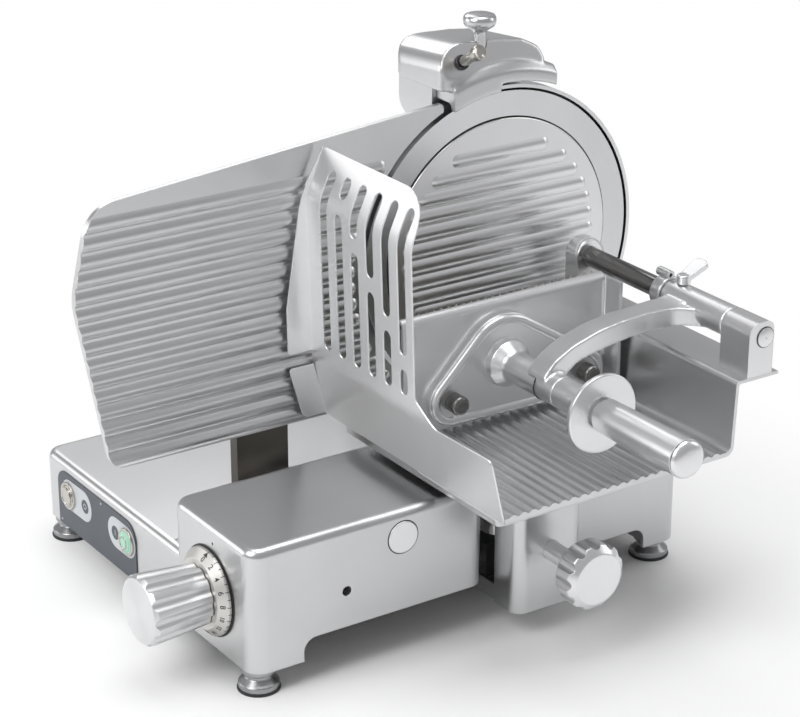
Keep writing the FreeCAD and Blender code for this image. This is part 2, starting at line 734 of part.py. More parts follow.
def sharpener_flange():
    """Curved front plate with a bevelled ledge, and the seat that joins it to the head."""
    low = BLADE_R + FLANGE_GAP
    high = low + FLANGE_TALL
    seat = RING_R + FLANGE_GAP
    profile = [(low, FLANGE_FRONT), (high, FLANGE_FRONT, 1), (high + LEDGE, FLANGE_FRONT + LEDGE),
               (high + LEDGE, SEAT_BACK), (seat, SEAT_BACK), (seat, RIM_FRONT - 0.5), (low, RIM_FRONT - 0.5)]
    ring = turned(profile, V(0, 0, 0), ALONG_Y)
    sector = box(-FLANGE_HALF, FLANGE_HALF, FLANGE_FRONT, SEAT_BACK, 0, high + LEDGE)
    over_rim = bar(seat + 1.5, V(0, FLANGE_FRONT - 1, 0), V(0, SEAT_BACK, 0))
    right = box(-6, BLADE_R, FLANGE_FRONT - 1, SEAT_BACK, 0, high)
    return ring.common(sector).cut(over_rim.common(right))


def sharpener_housing():
    body = fused([sharpener_body(), sharpener_flange()])
    room = box(4.5 - FLANGE_HALF, SHARP_RIGHT - 20, SHARP_FRONT + 3, SEAT_BACK + 7,
               BLADE_R - 5, SHARP_TOP - SHARP_WALL)
    low, high = V(GRIND_X, GRIND_Y, SHARP_BOTTOM), V(GRIND_X, GRIND_Y, SHARP_TOP + 9)
    spindle = bar(SPINDLE_R + RUN_GAP, low, high)
    at = V(DEBURR_X, 0, DEBURR_Z)
    hole = bar(DEBURR_R + RUN_GAP, at.add(deburr_axis() * 30), at.sub(deburr_axis() * 22))
    return body.cut(room).cut(spindle).cut(hole)


def deburr_bush():
    at = V(DEBURR_X, 0, DEBURR_Z)
    ring = tube(9.0, DEBURR_R + RUN_GAP, at.sub(deburr_axis() * 3), at.add(deburr_axis() * 8))
    return ring.cut(sharpener_housing())


def grind_knob():
    low = GRIND_Z + 10
    neck = SHARP_TOP + 7 - low
    profile = [(0, 0), (SPINDLE_R, 0), (SPINDLE_R, neck, 2), (8.5, neck + 4, 2), (15.5, neck + 7, 2),
               (15.5, neck + 10, 2.5), (6, neck + 12), (0, neck + 12.5)]
    spindle = turned(profile, V(GRIND_X, GRIND_Y, low), ALONG_Z)
    return fused([spindle, grind_fork()])


def grind_wheel():
    left, right = V(GRIND_X - 4, GRIND_Y, GRIND_Z), V(GRIND_X + 4, GRIND_Y, GRIND_Z)
    return tube(GRIND_R, AXLE_R + RUN_GAP, left, right)


def grind_fork():
    """Fork at the spindle's end that holds the wheel."""
    yoke = box(GRIND_X - 7, GRIND_X + 7, GRIND_Y - 5, GRIND_Y + 5, GRIND_Z - 2, GRIND_Z + 12)
    room = box(GRIND_X - 4.3, GRIND_X + 4.3, GRIND_Y - 9, GRIND_Y + 9, GRIND_Z - 6, GRIND_Z + 9.6)
    axle = bar(AXLE_R, V(GRIND_X - 7, GRIND_Y, GRIND_Z), V(GRIND_X + 7, GRIND_Y, GRIND_Z))
    return yoke.cut(room).fuse(axle).removeSplitter()


def deburr_pin():
    at = V(DEBURR_X, 0, DEBURR_Z)
    start = at.sub(deburr_axis() * 19)
    profile = [(0, 0), (7.5, 0, 0.8), (7.5, 5, 0.8), (DEBURR_R, 5), (DEBURR_R, 44), (7, 44, 1), (7, 51, 1),
               (0, 51)]
    return turned(profile, start, deburr_axis())


# ---- thickness dial and gauge ------------------------------------------------------

def thickness_knob():
    start = DIAL_RING_LONG + FREE_GAP
    end = start + KNOB_LONG
    profile = [(DIAL_SHAFT_R, start), (KNOB_R_IN, start, 1), (KNOB_R_OUT, end - 4, 1),
               (KNOB_R_OUT - 3, end, 1), (0, end), (0, end - 14), (DIAL_SHAFT_R, end - 14)]
    at = V(BASE_LEFT - 1, DIAL_Y, DIAL_Z)
    knob = turned(profile, at, -ALONG_X)
    inner = at.add(V(-start + 1, KNOB_R_IN + 4.2, 0))
    outer = at.add(V(-end - 1, KNOB_R_OUT + 4.2, 0))
    for groove in around(bar(6.6, inner, outer), KNOB_FLUTES, at, ALONG_X):
        knob = knob.cut(groove)
    return knob


def dial_ring():
    profile = [(DIAL_SHAFT_R, 0), (DIAL_RING_R, 0, 0.8), (DIAL_RING_R, 3, 0.8),
               (DIAL_RING_R - 8, DIAL_RING_LONG), (DIAL_SHAFT_R, DIAL_RING_LONG)]
    return turned(profile, V(BASE_LEFT - 1, DIAL_Y, DIAL_Z), -ALONG_X)


def dial_shaft():
    return bar(DIAL_SHAFT_R, V(KNOB_END + 14, DIAL_Y, DIAL_Z), V(CAM_X + CAM_WIDE, DIAL_Y, DIAL_Z))


def gauge_cam():
    """Spiral cam: the radius grows evenly over the turn of the dial."""
    points = []
    steps = 20
    for i in range(steps + 1):
        share = i / steps
        angle = math.radians(DIAL_TURN * share)
        radius = CAM_LOW_R + GAUGE_TRAVEL * share
        points.append(V(CAM_X, DIAL_Y + radius * math.cos(angle), DIAL_Z + radius * math.sin(angle)))
    curve = Part.BSplineCurve()
    curve.interpolate(points)
    drop = math.radians(DIAL_TURN + 22)
    low = V(CAM_X, DIAL_Y + CAM_LOW_R * math.cos(drop), DIAL_Z + CAM_LOW_R * math.sin(drop))
    half = math.radians(DIAL_TURN + 41)
    mid = V(CAM_X, DIAL_Y + CAM_LOW_R * math.cos(half), DIAL_Z + CAM_LOW_R * math.sin(half))
    closing = Part.Arc(low, mid, points[0]).toShape()
    wire = Part.Wire([curve.toShape(), Part.makeLine(points[-1], low), closing])
    cam = prism(wire, V(CAM_WIDE, 0, 0))
    return cam.cut(bar(DIAL_SHAFT_R, V(CAM_X - 1, DIAL_Y, DIAL_Z), V(CAM_X + CAM_WIDE + 1, DIAL_Y, DIAL_Z)))


def gauge_follower():
    """Roller in front of the cam, on a bar that runs back to the carrier."""
    roller_y = DIAL_Y + CAM_LOW_R + ROLLER_R + FREE_GAP
    side = CAM_X + CAM_WIDE + 1
    roller = bar(ROLLER_R, V(CAM_X, roller_y, DIAL_Z), V(side, roller_y, DIAL_Z))
    arm = box(side, side + 6, roller_y - ROLLER_R, POST_Y + 10, DIAL_Z - ROLLER_R, DIAL_Z + ROLLER_R)
    return roller.fuse(arm).removeSplitter()


def gauge_carrier():
    """Block clamped on the slide bar, with the pocket of the post."""
    x0, x1 = POST_X - POST_WIDE / 2 - 2, CAM_X + CAM_WIDE + 1
    block = box(x0, x1, POST_Y - 15, POST_Y + POST_T + 18, SLIDE_Z - SLIDE_R - 5, DECK_TOP - BASE_WALL - 2)
    slide = bar(SLIDE_R, V(POST_X, POST_Y - 68, SLIDE_Z), V(POST_X, POST_Y + 78, SLIDE_Z))
    return fused([block.cut(post_plate()), slide])


def post_plate():
    half = POST_WIDE / 2
    return box(POST_X - half, POST_X + half, POST_Y, POST_Y + POST_T, SLIDE_Z + SLIDE_R + 1, -20)


def gauge_post():
    half = POST_WIDE / 2 - 8
    pad = box(POST_X - half, POST_X + half, GAUGE_REAR, POST_Y + 1, -115, -28)
    return fused([post_plate(), pad])


def gauge_bearings():
    blocks = []
    for y in (POST_Y - 62, POST_Y + 52):
        block = box(POST_X - 16, POST_X + 16, y, y + 16, SLIDE_Z - SLIDE_R - 5, DECK_TOP - BASE_WALL)
        hole = bar(SLIDE_R + RUN_GAP, V(POST_X, y - 1, SLIDE_Z), V(POST_X, y + 17, SLIDE_Z))
        blocks.append(block.cut(hole))
    return Part.makeCompound(blocks)


def gauge_outline(y0, y1):
    notch = -FLANGE_HALF - NOTCH_GAP
    corners = [(-413.5, -127.5, 16), (0, -127.5), (0, 120), (notch, 120), (notch, 148.7, 4),
               (-424, 116.4, 36), (-442.5, 35, 70)]
    return slab_xz(corners, y0, y1)


def gauge_plate():
    """Ribbed plate: the ribs run out at the left edge and end round beside the blade."""
    reach = GAUGE_CUT_R + 12
    ribs = []
    for z in rib_levels(GAUGE_RIB_TOP):
        right = -math.sqrt(reach ** 2 - z ** 2)
        ribs.append(pressed_rib(BASE_LEFT - 90, right, z, GAUGE_CREST, GAUGE_RIB_H, RIB_W))
    relief = Part.makeCompound(ribs).common(gauge_outline(GAUGE_CREST - 1, GAUGE_REAR))
    plate = fused([gauge_outline(GAUGE_FACE, GAUGE_REAR)] + relief.Solids)
    return plate.cut(bar(GAUGE_CUT_R, V(0, GAUGE_FACE - 1, 0), V(0, GAUGE_REAR + 1, 0)))


# ---- carriage ----------------------------------------------------------------------

def tray_sheet():
    wall = TRAY_RIGHT
    corners = [(TRAY_LEFT, TRAY_BOTTOM), (wall, TRAY_BOTTOM, 9), (wall + 3, SIDE_TOP - 3, 2),
               (FLANGE_RIGHT, SIDE_TOP - 3), (FLANGE_RIGHT, SIDE_TOP, 1), (wall, SIDE_TOP, 4),
               (wall - 3, TRAY_FLOOR, 6), (TRAY_LEFT, TRAY_FLOOR)]
    return slab_xz(corners, TRAY_FRONT, TRAY_BACK)


def carriage_tray():
    ribs = []
    x = TRAY_LEFT + TRAY_RIB_PITCH
    while x < TRAY_RIGHT - 10:
        half = TRAY_RIB_PITCH * 0.36
        arc = Part.Arc(V(x - half, TRAY_FRONT, TRAY_FLOOR), V(x, TRAY_FRONT, TRAY_FLOOR + TRAY_RIB_H),
                       V(x + half, TRAY_FRONT, TRAY_FLOOR)).toShape()
        chord = Part.makeLine(V(x + half, TRAY_FRONT, TRAY_FLOOR), V(x - half, TRAY_FRONT, TRAY_FLOOR))
        ribs.append(prism(Part.Wire([arc, chord]), V(0, TRAY_BACK - TRAY_FRONT, 0)))
        x += TRAY_RIB_PITCH
    return fused([tray_sheet(), tray_hem(HEM_R, TRAY_FRONT + 12, TRAY_BACK - 150)] + ribs)


def tray_hem(radius, y0, y1):
    """Rolled edge under the left side of the tray."""
    x, z = TRAY_LEFT + HEM_R, TRAY_BOTTOM - 1.5
    return bar(radius, V(x, y0, z), V(x, y1, z))


def guard_profile():
    """Bent sheet seen from the front: foot, upright and the top that leans over the food."""
    t = GUARD_T
    left = [(TRAY_LEFT, TRAY_BOTTOM), (-211.5, -60.8, 60), (-216, 92, 40), (-197, GUARD_TOP)]
    right = [(-197 + t, GUARD_TOP), (-216 + t + 0.4, 92, 40), (-211.5 + t, -60.8, 60),
             (TRAY_LEFT + t, TRAY_BOTTOM)]
    return slab_xz(left + right, TRAY_FRONT, GUARD_BACK)


def guard_side_view():
    low = SIDE_TOP - 11
    corners = [(TRAY_FRONT, TRAY_BOTTOM), (GUARD_BACK, TRAY_BOTTOM), (GUARD_BACK, GUARD_TOP, 8),
               (GUARD_FRONT, GUARD_TOP + 1, 34), (GUARD_FRONT, -46, 8), (-201, low, 14),
               (TRAY_FRONT, low + 1.5, 5)]
    return slab_yz(corners, -260, -150)


def guard_slots():
    slots = []
    z0, z1, gap = -47.0, 120.0, 14.0
    breaks = [None, 95.0, 67.0, 38.5, 11.0, -17.0]
    for i in range(SLOT_COUNT):
        y = -34 - SLOT_PITCH * i
        pieces = [(z0, z1)]
        if breaks[i] is not None:
            pieces = [(z0, breaks[i] - gap / 2), (breaks[i] + gap / 2, z1)]
        for low, high in pieces:
            slots.append(slab_yz(pill(y - SLOT_W / 2, y + SLOT_W / 2, low, high), -240, -170))
    return slots


def guard_flange():
    y0, y1 = GUARD_BACK - GUARD_T, GUARD_BACK
    upper = [(-197, GUARD_TOP - 1), (-214, 104, 30), (-222, 84, 60), (-237.2, -12, 14), (-236.5, -56, 3),
             (-210.5, -56), (-214.5, 88)]
    lower = [(-210, -70), (-236, -70, 3), (-221.5, -121, 8), (-195.5, -121)]
    return [slab_xz(upper, y0, y1), slab_xz(lower, y0, y1)]


def hand_guard():
    sheet = guard_profile().common(guard_side_view())
    for slot in guard_slots():
        sheet = sheet.cut(slot)
    guard = fused([sheet] + guard_flange())
    return guard.cut(carriage_tray())


def carriage_arm():
    """Platform under the tray, arm in front of the base and hook under the skirt."""
    wide = [(-187, -262, 6), (-50, -262, 6), (-50, -20, 6), (-187, -20, 6)]
    platform = slab_xy(wide, PLATFORM_BOTTOM, TRAY_BOTTOM)
    side = [(-60, -215, 6), (30, -215, 6), (30, -20, 6), (-60, -20, 6)]
    ledge = slab_xy(side, PLATFORM_BOTTOM + 6, TRAY_BOTTOM)
    arm_plan = [(ARM_LEFT, ARM_FRONT, 12), (ARM_RIGHT, ARM_FRONT, 12), (ARM_RIGHT, ARM_BACK),
                (ARM_LEFT, ARM_BACK)]
    arm = slab_xy(arm_plan, HOOK_BOTTOM, PLATFORM_BOTTOM + 2)
    hook_back = BAR_Y + 13.5
    hook = box(ARM_LEFT + 3, ARM_RIGHT - 3, ARM_BACK - 5, hook_back, HOOK_BOTTOM, HOOK_TOP)
    stud = bar(STUD_R + RUN_GAP, V(LOCK_X, ARM_FRONT - 1, LOCK_Z), V(LOCK_X, ARM_FRONT + 22, LOCK_Z))
    hem_room = tray_hem(HEM_R + FREE_GAP, TRAY_FRONT, TRAY_BACK)
    return fused([platform, ledge, arm, hook]).cut(stud).cut(hem_room)


def slide_block():
    x0, x1 = ARM_LEFT + 5, ARM_RIGHT - 5
    y0, y1 = BAR_Y - 13.5, BAR_Y + 13.5
    main = box(x0, x1, y0, y1, HOOK_TOP, BAR_Z + BAR_R + 8)
    tail = box(x0, x1, y1, REAR_BAR_Y + 7, REAR_BAR_Z - 8, REAR_BAR_Z + 8)
    block = main.fuse(tail).removeSplitter()
    bores = [(BAR_R, BAR_Y, BAR_Z), (REAR_BAR_R, REAR_BAR_Y, REAR_BAR_Z)]
    for radius, y, z in bores:
        block = block.cut(bar(radius + RUN_GAP, V(x0 - 1, y, z), V(x1 + 1, y, z)))
    return block


def fluted_cap(radius, long, flutes, groove, at, axis, side):
    profile = [(0, 0), (radius - 4, 0, 1.5), (radius, 5, 2), (radius, long - 6, 3), (radius - 7, long, 3),
               (0, long)]
    cap = turned(profile, at, axis)
    start = at.add(side * (radius + groove * 0.5)).sub(axis * 1)
    cutter = bar(groove, start, start.add(axis * (long + 2)))
    for cut in around(cutter, flutes, at, axis):
        cap = cap.cut(cut)
    return cap


def lock_knob():
    at = V(LOCK_X, ARM_FRONT - 42, LOCK_Z)
    cap = fluted_cap(LOCK_R, 27, 12, 6.0, at, -ALONG_Y, ALONG_X)
    return fused([cap, bar(STUD_R, at, V(LOCK_X, ARM_FRONT + 19, LOCK_Z))])


def rod_lug():
    corners = [(ROD_X - 18, SIDE_TOP), (ROD_X + 10, SIDE_TOP), (ROD_X + 10, ROD_Z + 15, 9),
               (ROD_X - 18, ROD_Z + 15, 12)]
    lug = slab_xz(corners, TRAY_FRONT, TRAY_FRONT + 38)
    return lug.cut(bar(ROD_R, V(ROD_X, TRAY_FRONT - 1, ROD_Z), V(ROD_X, TRAY_FRONT + 40, ROD_Z)))


def rod_bracket():
    """Round topped bracket that slopes back from the flange, with the boss of the rod."""
    half = BRACKET_HALF
    left, right = ROD_X - half, ROD_X + half
    front_view = [(left, SIDE_TOP), (right, SIDE_TOP), (right, ROD_Z + half, half - 1),
                  (left, ROD_Z + half, half - 1)]
    side_view = [(BRACKET_FRONT, SIDE_TOP), (BRACKET_BACK, SIDE_TOP), (BRACKET_BACK, ROD_Z + half + 1),
                 (BRACKET_FRONT + 17, ROD_Z + half + 1)]
    upright = slab_xz(front_view, BRACKET_FRONT, BRACKET_BACK)
    bracket = upright.common(slab_yz(side_view, ROD_X - half - 1, ROD_X + half + 1))
    boss = bar(half - 2, V(ROD_X, BRACKET_FRONT + 12, ROD_Z), V(ROD_X, BRACKET_BACK, ROD_Z))
    bracket = fused([bracket, boss])
    return bracket.cut(bar(ROD_R, V(ROD_X, BRACKET_FRONT - 1, ROD_Z), V(ROD_X, ROD_END, ROD_Z)))


def pusher_rod():
    return bar(ROD_R, V(ROD_X, TRAY_FRONT - 0.8, ROD_Z), V(ROD_X, ROD_END, ROD_Z))


# ---- pusher ------------------------------------------------------------------------

def rod_at(y):
    return V(ROD_X, y, ROD_Z)


def handle_at(y):
    return V(HANDLE_X, y, HANDLE_Z)


def rod_bush():
    front, back = TRAY_FRONT + 38.5, -141.0
    bore = ROD_R + RUN_GAP
    long = back - front
    profile = [(bore, 0), (HUB_R, 0, 1), (HUB_R, 3), (BUSH_R, 3), (BUSH_R, long - 14), (16, long - 14, 1.5),
               (16, long, 2.5), (bore, long)]
    bush = turned(profile, rod_at(front), ALONG_Y)
    ear = tube(4.2, 1.8, V(ROD_X - 1, back - 14 + FREE_GAP, ROD_Z + 18), V(ROD_X - 1, back + 3, ROD_Z + 18))
    return fused([bush, ear.cut(bar(bore, rod_at(front), rod_at(back + 4)))])


def press_arm():
    front, back = TRAY_FRONT + 38.5 + 3.5, -155.5
    upper = [(ROD_X, ROD_Z + 13), (20, -5, 160), (-64, -15, 30), (-89, -58, 4)]
    lower = [(-61, -68, 4), (-44, -36, 18), (-8, -31, 60), (34, -25, 100), (ROD_X, ROD_Z - 13)]
    beam = slab_xz(upper + lower, PRESS_FRONT, PRESS_BACK)
    hub = bar(HUB_R, rod_at(front), rod_at(back))
    collar = bar(NECK_R + 1, handle_at(PRESS_FRONT), handle_at(PRESS_BACK))
    fan_plan = [(34, PRESS_FRONT, 20), (ROD_X, PRESS_FRONT - 26), (ROD_X, PRESS_BACK + 16),
                (34, PRESS_BACK, 20)]
    fan = slab_xy(fan_plan, ROD_Z - 8, ROD_Z + 9)
    arm = fused([beam, hub, collar, fan])
    arm = arm.cut(bar(BUSH_R + RUN_GAP, rod_at(front - 1), rod_at(back + 1)))
    seat = rod_at(LEVER_Y).add(V(1, 0, HUB_R))
    return arm.cut(bar(LEVER_PIN_R + RUN_GAP, seat.sub(V(0, 0, 3)), seat.add(V(0, 0, 5))))


def wing_lever():
    at = rod_at(LEVER_Y).add(V(1, 0, HUB_R))
    profile = [(0, -2.6), (LEVER_PIN_R, -2.6), (LEVER_PIN_R, 0.5), (6.5, 0.5, 0.5), (6.5, 9, 2), (0, 9)]
    stem = turned(profile, at, ALONG_Z)
    plan = [(0, -5.5, 3), (27, -9, 5), (27, 9, 5), (0, 5.5, 3)]
    paddle = slab_xy(plan, 0, 4.5)
    paddle.rotate(V(0, 0, 0), ALONG_Y, -27)
    paddle.translate(at.add(V(0, 0, 2.5)))
    return fused([stem, paddle])


def pusher_plate():
    back = PLATE_FRONT + PLATE_T
    inner = PLATE_RIGHT - PLATE_T
    fold = PLATE_FRONT - 22
    plan = [(PLATE_LEFT, PLATE_FRONT), (inner, PLATE_FRONT, 3), (inner, fold), (PLATE_RIGHT, fold),
            (PLATE_RIGHT, back, 6), (PLATE_LEFT, back)]
    sheet = slab_xy(plan, PLATE_BOTTOM, PLATE_TOP - 3)
    face = [(PLATE_LEFT, PLATE_BOTTOM, 6), (PLATE_RIGHT, PLATE_BOTTOM), (PLATE_RIGHT, PLATE_TOP - 3),
            (PLATE_LEFT, PLATE_TOP - 3)]
    sheet = sheet.common(slab_xz(face, PLATE_FRONT - 30, back + 1))
    bend = PLATE_TOP - 7
    rolled = tube(7, 3.5, V(PLATE_LEFT, back + 3.5, bend), V(inner, back + 3.5, bend))
    quarter = box(PLATE_LEFT, inner, PLATE_FRONT - 1, back + 3.5, bend, PLATE_TOP + 1)
    above = box(PLATE_LEFT - 1, PLATE_RIGHT + 1, PLATE_FRONT - 1, back + 1, bend, PLATE_TOP + 1)
    return fused([sheet.cut(above), rolled.common(quarter)])


def pusher_teeth():
    """Grip plate behind the pusher, with saw teeth on top and points toward the blade."""
    front = PLATE_FRONT + PLATE_T
    low, high, pitch = PLATE_BOTTOM + 4, PLATE_TOP + 1, 8.0
    corners = [(PLATE_LEFT + 4, low)]
    gap_x = PLATE_LEFT + 14
    while gap_x < PLATE_RIGHT - 16:
        corners += [(gap_x, low), (gap_x + 2, low + 7), (gap_x + 5, low + 7), (gap_x + 7, low)]
        gap_x += 19.7
    corners.append((PLATE_RIGHT - 8, low))
    x = PLATE_RIGHT - 8
    while x > PLATE_LEFT + 4 + pitch:
        corners += [(x, high - 5), (x - pitch * 0.5, high), (x - pitch * 0.999, high - 5)]
        x -= pitch
    corners.append((PLATE_LEFT + 4, high - 5))
    strip = slab_xz(corners, front + 4, front + 6)
    packer = box(PLATE_LEFT + 20, PLATE_RIGHT - 20, front, front + 4, low + 12, high - 22)
    points = []
    for row in range(3):
        for i in range(9):
            at = V(PLATE_LEFT + 18 + 24 * i, front + 5.5, low + 20 + 32 * row)
            points.append(Part.makeCone(2.2, 0.3, 5.5, at, ALONG_Y))
    return fused([strip, packer] + points)


def pusher_boss():
    """Bevelled boss on the pusher plate with the bell hub of the handle."""
    left, right = PIN_SPOTS
    circles = [(left[0], left[1], 23), (right[0], right[1], 22), (HANDLE_X, HANDLE_Z, 45)]
    plate = prism(hull(circles, xz(PLATE_FRONT)), V(0, -BOSS_T, 0))
    bevelled = plate.makeChamfer(3.5, edges_at(plate, "y", BOSS_FRONT))
    return fused([bevelled, bell_hub()])


def bell_hub():
    drop = BOSS_FRONT - PRESS_BACK
    profile = [(0, 0), (23, 0), (22, 7, 3), (NECK_R, 17, 8), (NECK_R, drop), (0, drop)]
    return turned(profile, handle_at(BOSS_FRONT), -ALONG_Y)


def pusher_pins():
    pins = []
    for x, z in PIN_SPOTS:
        profile = [(0, 0), (PIN_R, 0), (PIN_R, 15, 4), (0, 15)]
        pins.append(turned(profile, V(x, BOSS_FRONT, z), -ALONG_Y))
    return Part.makeCompound(pins)


def hand_disc():
    """Finger guard disc with its sleeve and the neck of the grip."""
    back = PRESS_FRONT - DISC_FRONT
    profile = [(0, 0), (NECK_R, 0), (NECK_R, back - 7, 5), (DISC_R, back - 5, 1.5), (DISC_R, back, 1.5),
               (12, back), (12, back + GRIP_GAP), (0, back + GRIP_GAP)]
    return turned(profile, handle_at(PRESS_FRONT), -ALONG_Y)


def handle_grip():
    start = DISC_FRONT - GRIP_GAP
    long = start - GRIP_END
    seam = long - 17
    profile = [(0, 0), (GRIP_R_IN, 0, 1.5), (GRIP_R_OUT, seam - 0.8), (GRIP_R_OUT - 0.8, seam - 0.4),
               (GRIP_R_OUT, seam), (GRIP_R_OUT, long, 12), (0, long)]
    return turned(profile, handle_at(start), -ALONG_Y)


# ---- every part under its own name -------------------------------------------------

def all_parts():
    parts = {
        "base_casting": base_casting(),
        "carriage_guide_bar": guide_bar(BAR_R, BAR_Y, BAR_Z),
        "rear_guide_bar": guide_bar(REAR_BAR_R, REAR_BAR_Y, REAR_BAR_Z),
        "dial_bushing": dial_bushing(),
        "access_cap": access_cap(),
        "cable_gland": cable_gland(),
        "control_panel": control_panel(),
        "button_bezels": Part.makeCompound([button_bezel(START_Y), button_bezel(STOP_Y)]),
        "start_button": push_button(START_Y),
        "stop_button": push_button(STOP_Y),
        "head_casting": head_casting(),
        "rear_cover": rear_cover(),
        "motor_housing": motor_housing(),
        "drive_motor": drive_motor(),
        "motor_rotor": motor_rotor(),
        "drive_belt": drive_belt(),
        "blade_bearings": blade_bearings(),
        "blade_shaft": blade_shaft(),
        "blade_screws": Part.makeCompound(screw_bars(3.0)),
        "blade": blade(),
        "blade_pulley": blade_pulley(),
        "blade_cover": blade_cover(),
        "cover_tie_rod": cover_tie_rod(),
        "guard_ring": guard_ring(),
        "slice_deflector": slice_deflector(),
        "sharpener_housing": sharpener_housing(),
        "deburr_bush": deburr_bush(),
        "grind_knob": grind_knob(),
        "grind_wheel": grind_wheel(),
        "deburr_pin": deburr_pin(),
        "thickness_knob": thickness_knob(),
        "dial_ring": dial_ring(),
        "dial_shaft": dial_shaft(),
        "gauge_cam": gauge_cam(),
        "gauge_follower": gauge_follower(),
        "gauge_carrier": gauge_carrier(),
        "gauge_post": gauge_post(),
        "gauge_bearings": gauge_bearings(),
        "gauge_plate": gauge_plate(),
        "carriage_tray": carriage_tray(),
        "hand_guard": hand_guard(),
        "carriage_arm": carriage_arm(),
        "slide_block": slide_block(),
        "lock_knob": lock_knob(),
        "rod_lug": rod_lug(),
        "rod_bracket": rod_bracket(),
        "pusher_rod": pusher_rod(),
        "rod_bush": rod_bush(),
        "press_arm": press_arm(),
        "wing_lever": wing_lever(),
        "pusher_plate": pusher_plate(),
        "pusher_teeth": pusher_teeth(),
        "pusher_boss": pusher_boss(),
        "pusher_pins": pusher_pins(),
        "hand_disc": hand_disc(),
        "handle_grip": handle_grip(),
    }
    for name, spot in FEET.items():
        parts[name] = foot(spot)
    return parts


os.makedirs("parts", exist_ok=True)
for name, shape in all_parts().items():
    shape.translate(ORIGIN)
    shape.exportStep("parts/" + name + ".step")
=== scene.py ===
import math

import bmesh
import bpy
from mathutils import Matrix, Vector

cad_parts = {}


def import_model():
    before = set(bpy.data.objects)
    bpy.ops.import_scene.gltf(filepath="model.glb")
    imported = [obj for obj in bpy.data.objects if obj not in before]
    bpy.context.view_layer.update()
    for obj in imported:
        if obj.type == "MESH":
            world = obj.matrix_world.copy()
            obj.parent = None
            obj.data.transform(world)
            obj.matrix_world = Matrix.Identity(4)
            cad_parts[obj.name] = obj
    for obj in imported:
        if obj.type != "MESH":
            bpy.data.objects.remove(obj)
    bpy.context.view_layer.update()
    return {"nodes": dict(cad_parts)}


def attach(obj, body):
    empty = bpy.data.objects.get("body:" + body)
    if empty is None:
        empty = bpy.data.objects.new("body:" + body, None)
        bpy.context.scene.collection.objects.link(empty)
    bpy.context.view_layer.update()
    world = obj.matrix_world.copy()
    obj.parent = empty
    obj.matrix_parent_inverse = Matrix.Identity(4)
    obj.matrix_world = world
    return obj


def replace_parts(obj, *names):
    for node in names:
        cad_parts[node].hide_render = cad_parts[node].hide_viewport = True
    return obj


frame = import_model()

# Blade centre in the row frame, in metres; places below are given in mm from it
BLADE = Vector((0.1478, 0.0775, 0.280))
MM_PER_M = 1000.0
MERGE = 0.0005            # points closer than this become one
FLOOR_Z = -280.0

# Planes and centres of the solids that the small pieces sit on, in mm
BASE_LEFT = -382.0
PANEL_FACE = -383.0
BUTTON_Z = -221.5
START_Y = 40.0
STOP_Y = 157.0
BUTTON_FACE = -386.0
BUTTON_ROOM = 10.0        # radius left free in the printed fields
DIAL = (-111.0, -205.0)
DIAL_LAND_R = 40.0
DIAL_LAND_X = -386.0
DIAL_NOSE_R = 32.0
DIAL_NOSE_X = -393.0
ZERO_AT = 98.0            # degrees from +Y toward +Z
NUMBER_STEP = 20.0
NUMBER_COUNT = 15
COVER_BACK = 92.0
COVER_SCREWS_R = 97
HOUSING_BACK = 196.0
MOTOR_Z = -130.0
FEET = ((-366.0, -163.0), (72.0, -151.0), (-366.0, 191.0), (72.0, 191.0))

# Axes in the sharpener and the pusher: (x, y) of the knob, (x, z) of the rod and of the handle
KNOB_PLACE = (-18.0, 10.0)
DEBURR_AXIS = Vector((0, -math.cos(math.radians(30)), math.sin(math.radians(30))))
DEBURR_PLACE = Vector((-44.5, 0, 184.5))
ROD = (83.0, -17.0)
HANDLE = (-75.0, -61.0)

# Half the thickness of printed signs, and how far their strokes are widened
GLYPH_HALF = 0.06
GLYPH_BOLD = 0.06

# Directions that the lathed pieces grow in
TO_FRONT = (0, -1, 0)
TO_REAR = (0, 1, 0)
TO_LEFT = (-1, 0, 0)
UP = (0, 0, 1)


def at(x, y, z):
    """Row position in metres of a point given in mm from the blade centre."""
    return BLADE + Vector((x, y, z)) / MM_PER_M


# ---- node helpers ------------------------------------------------------------------

def new_material(name):
    """Material with its node tree and its Principled shader."""
    material = bpy.data.materials.new(name)
    material.use_nodes = True
    tree = material.node_tree
    shader = tree.nodes["Principled BSDF"]
    return material, tree, shader


def add_node(tree, kind, **values):
    """New node with the given properties."""
    node = tree.nodes.new(kind)
    for key, value in values.items():
        setattr(node, key, value)
    return node


def mapped(tree, scale):
    """Object coordinates, scaled."""
    coords = add_node(tree, "ShaderNodeTexCoord")
    mapping = add_node(tree, "ShaderNodeMapping")
    mapping.inputs["Scale"].default_value = scale
    tree.links.new(coords.outputs["Object"], mapping.inputs["Vector"])
    return mapping.outputs["Vector"]


def noise(tree, scale, detail=3.0, stretch=(1, 1, 1)):
    """Noise over the object, 0 to 1."""
    texture = add_node(tree, "ShaderNodeTexNoise")
    texture.inputs["Scale"].default_value = scale
    texture.inputs["Detail"].default_value = detail
    tree.links.new(mapped(tree, stretch), texture.inputs["Vector"])
    return texture.outputs["Fac"]


def span(tree, value, low, high, out_low, out_high):
    """Value carried from one range to another."""
    node = add_node(tree, "ShaderNodeMapRange")
    for key, number in zip(("From Min", "From Max", "To Min", "To Max"), (low, high, out_low, out_high)):
        node.inputs[key].default_value = number
    tree.links.new(value, node.inputs["Value"])
    return node.outputs["Result"]


def mixed(tree, factor, first, second):
    """Colour between two colours."""
    node = add_node(tree, "ShaderNodeMix", data_type="RGBA")
    tree.links.new(factor, node.inputs["Factor"])
    node.inputs["A"].default_value = (*first, 1.0)
    node.inputs["B"].default_value = (*second, 1.0)
    return node.outputs["Result"]


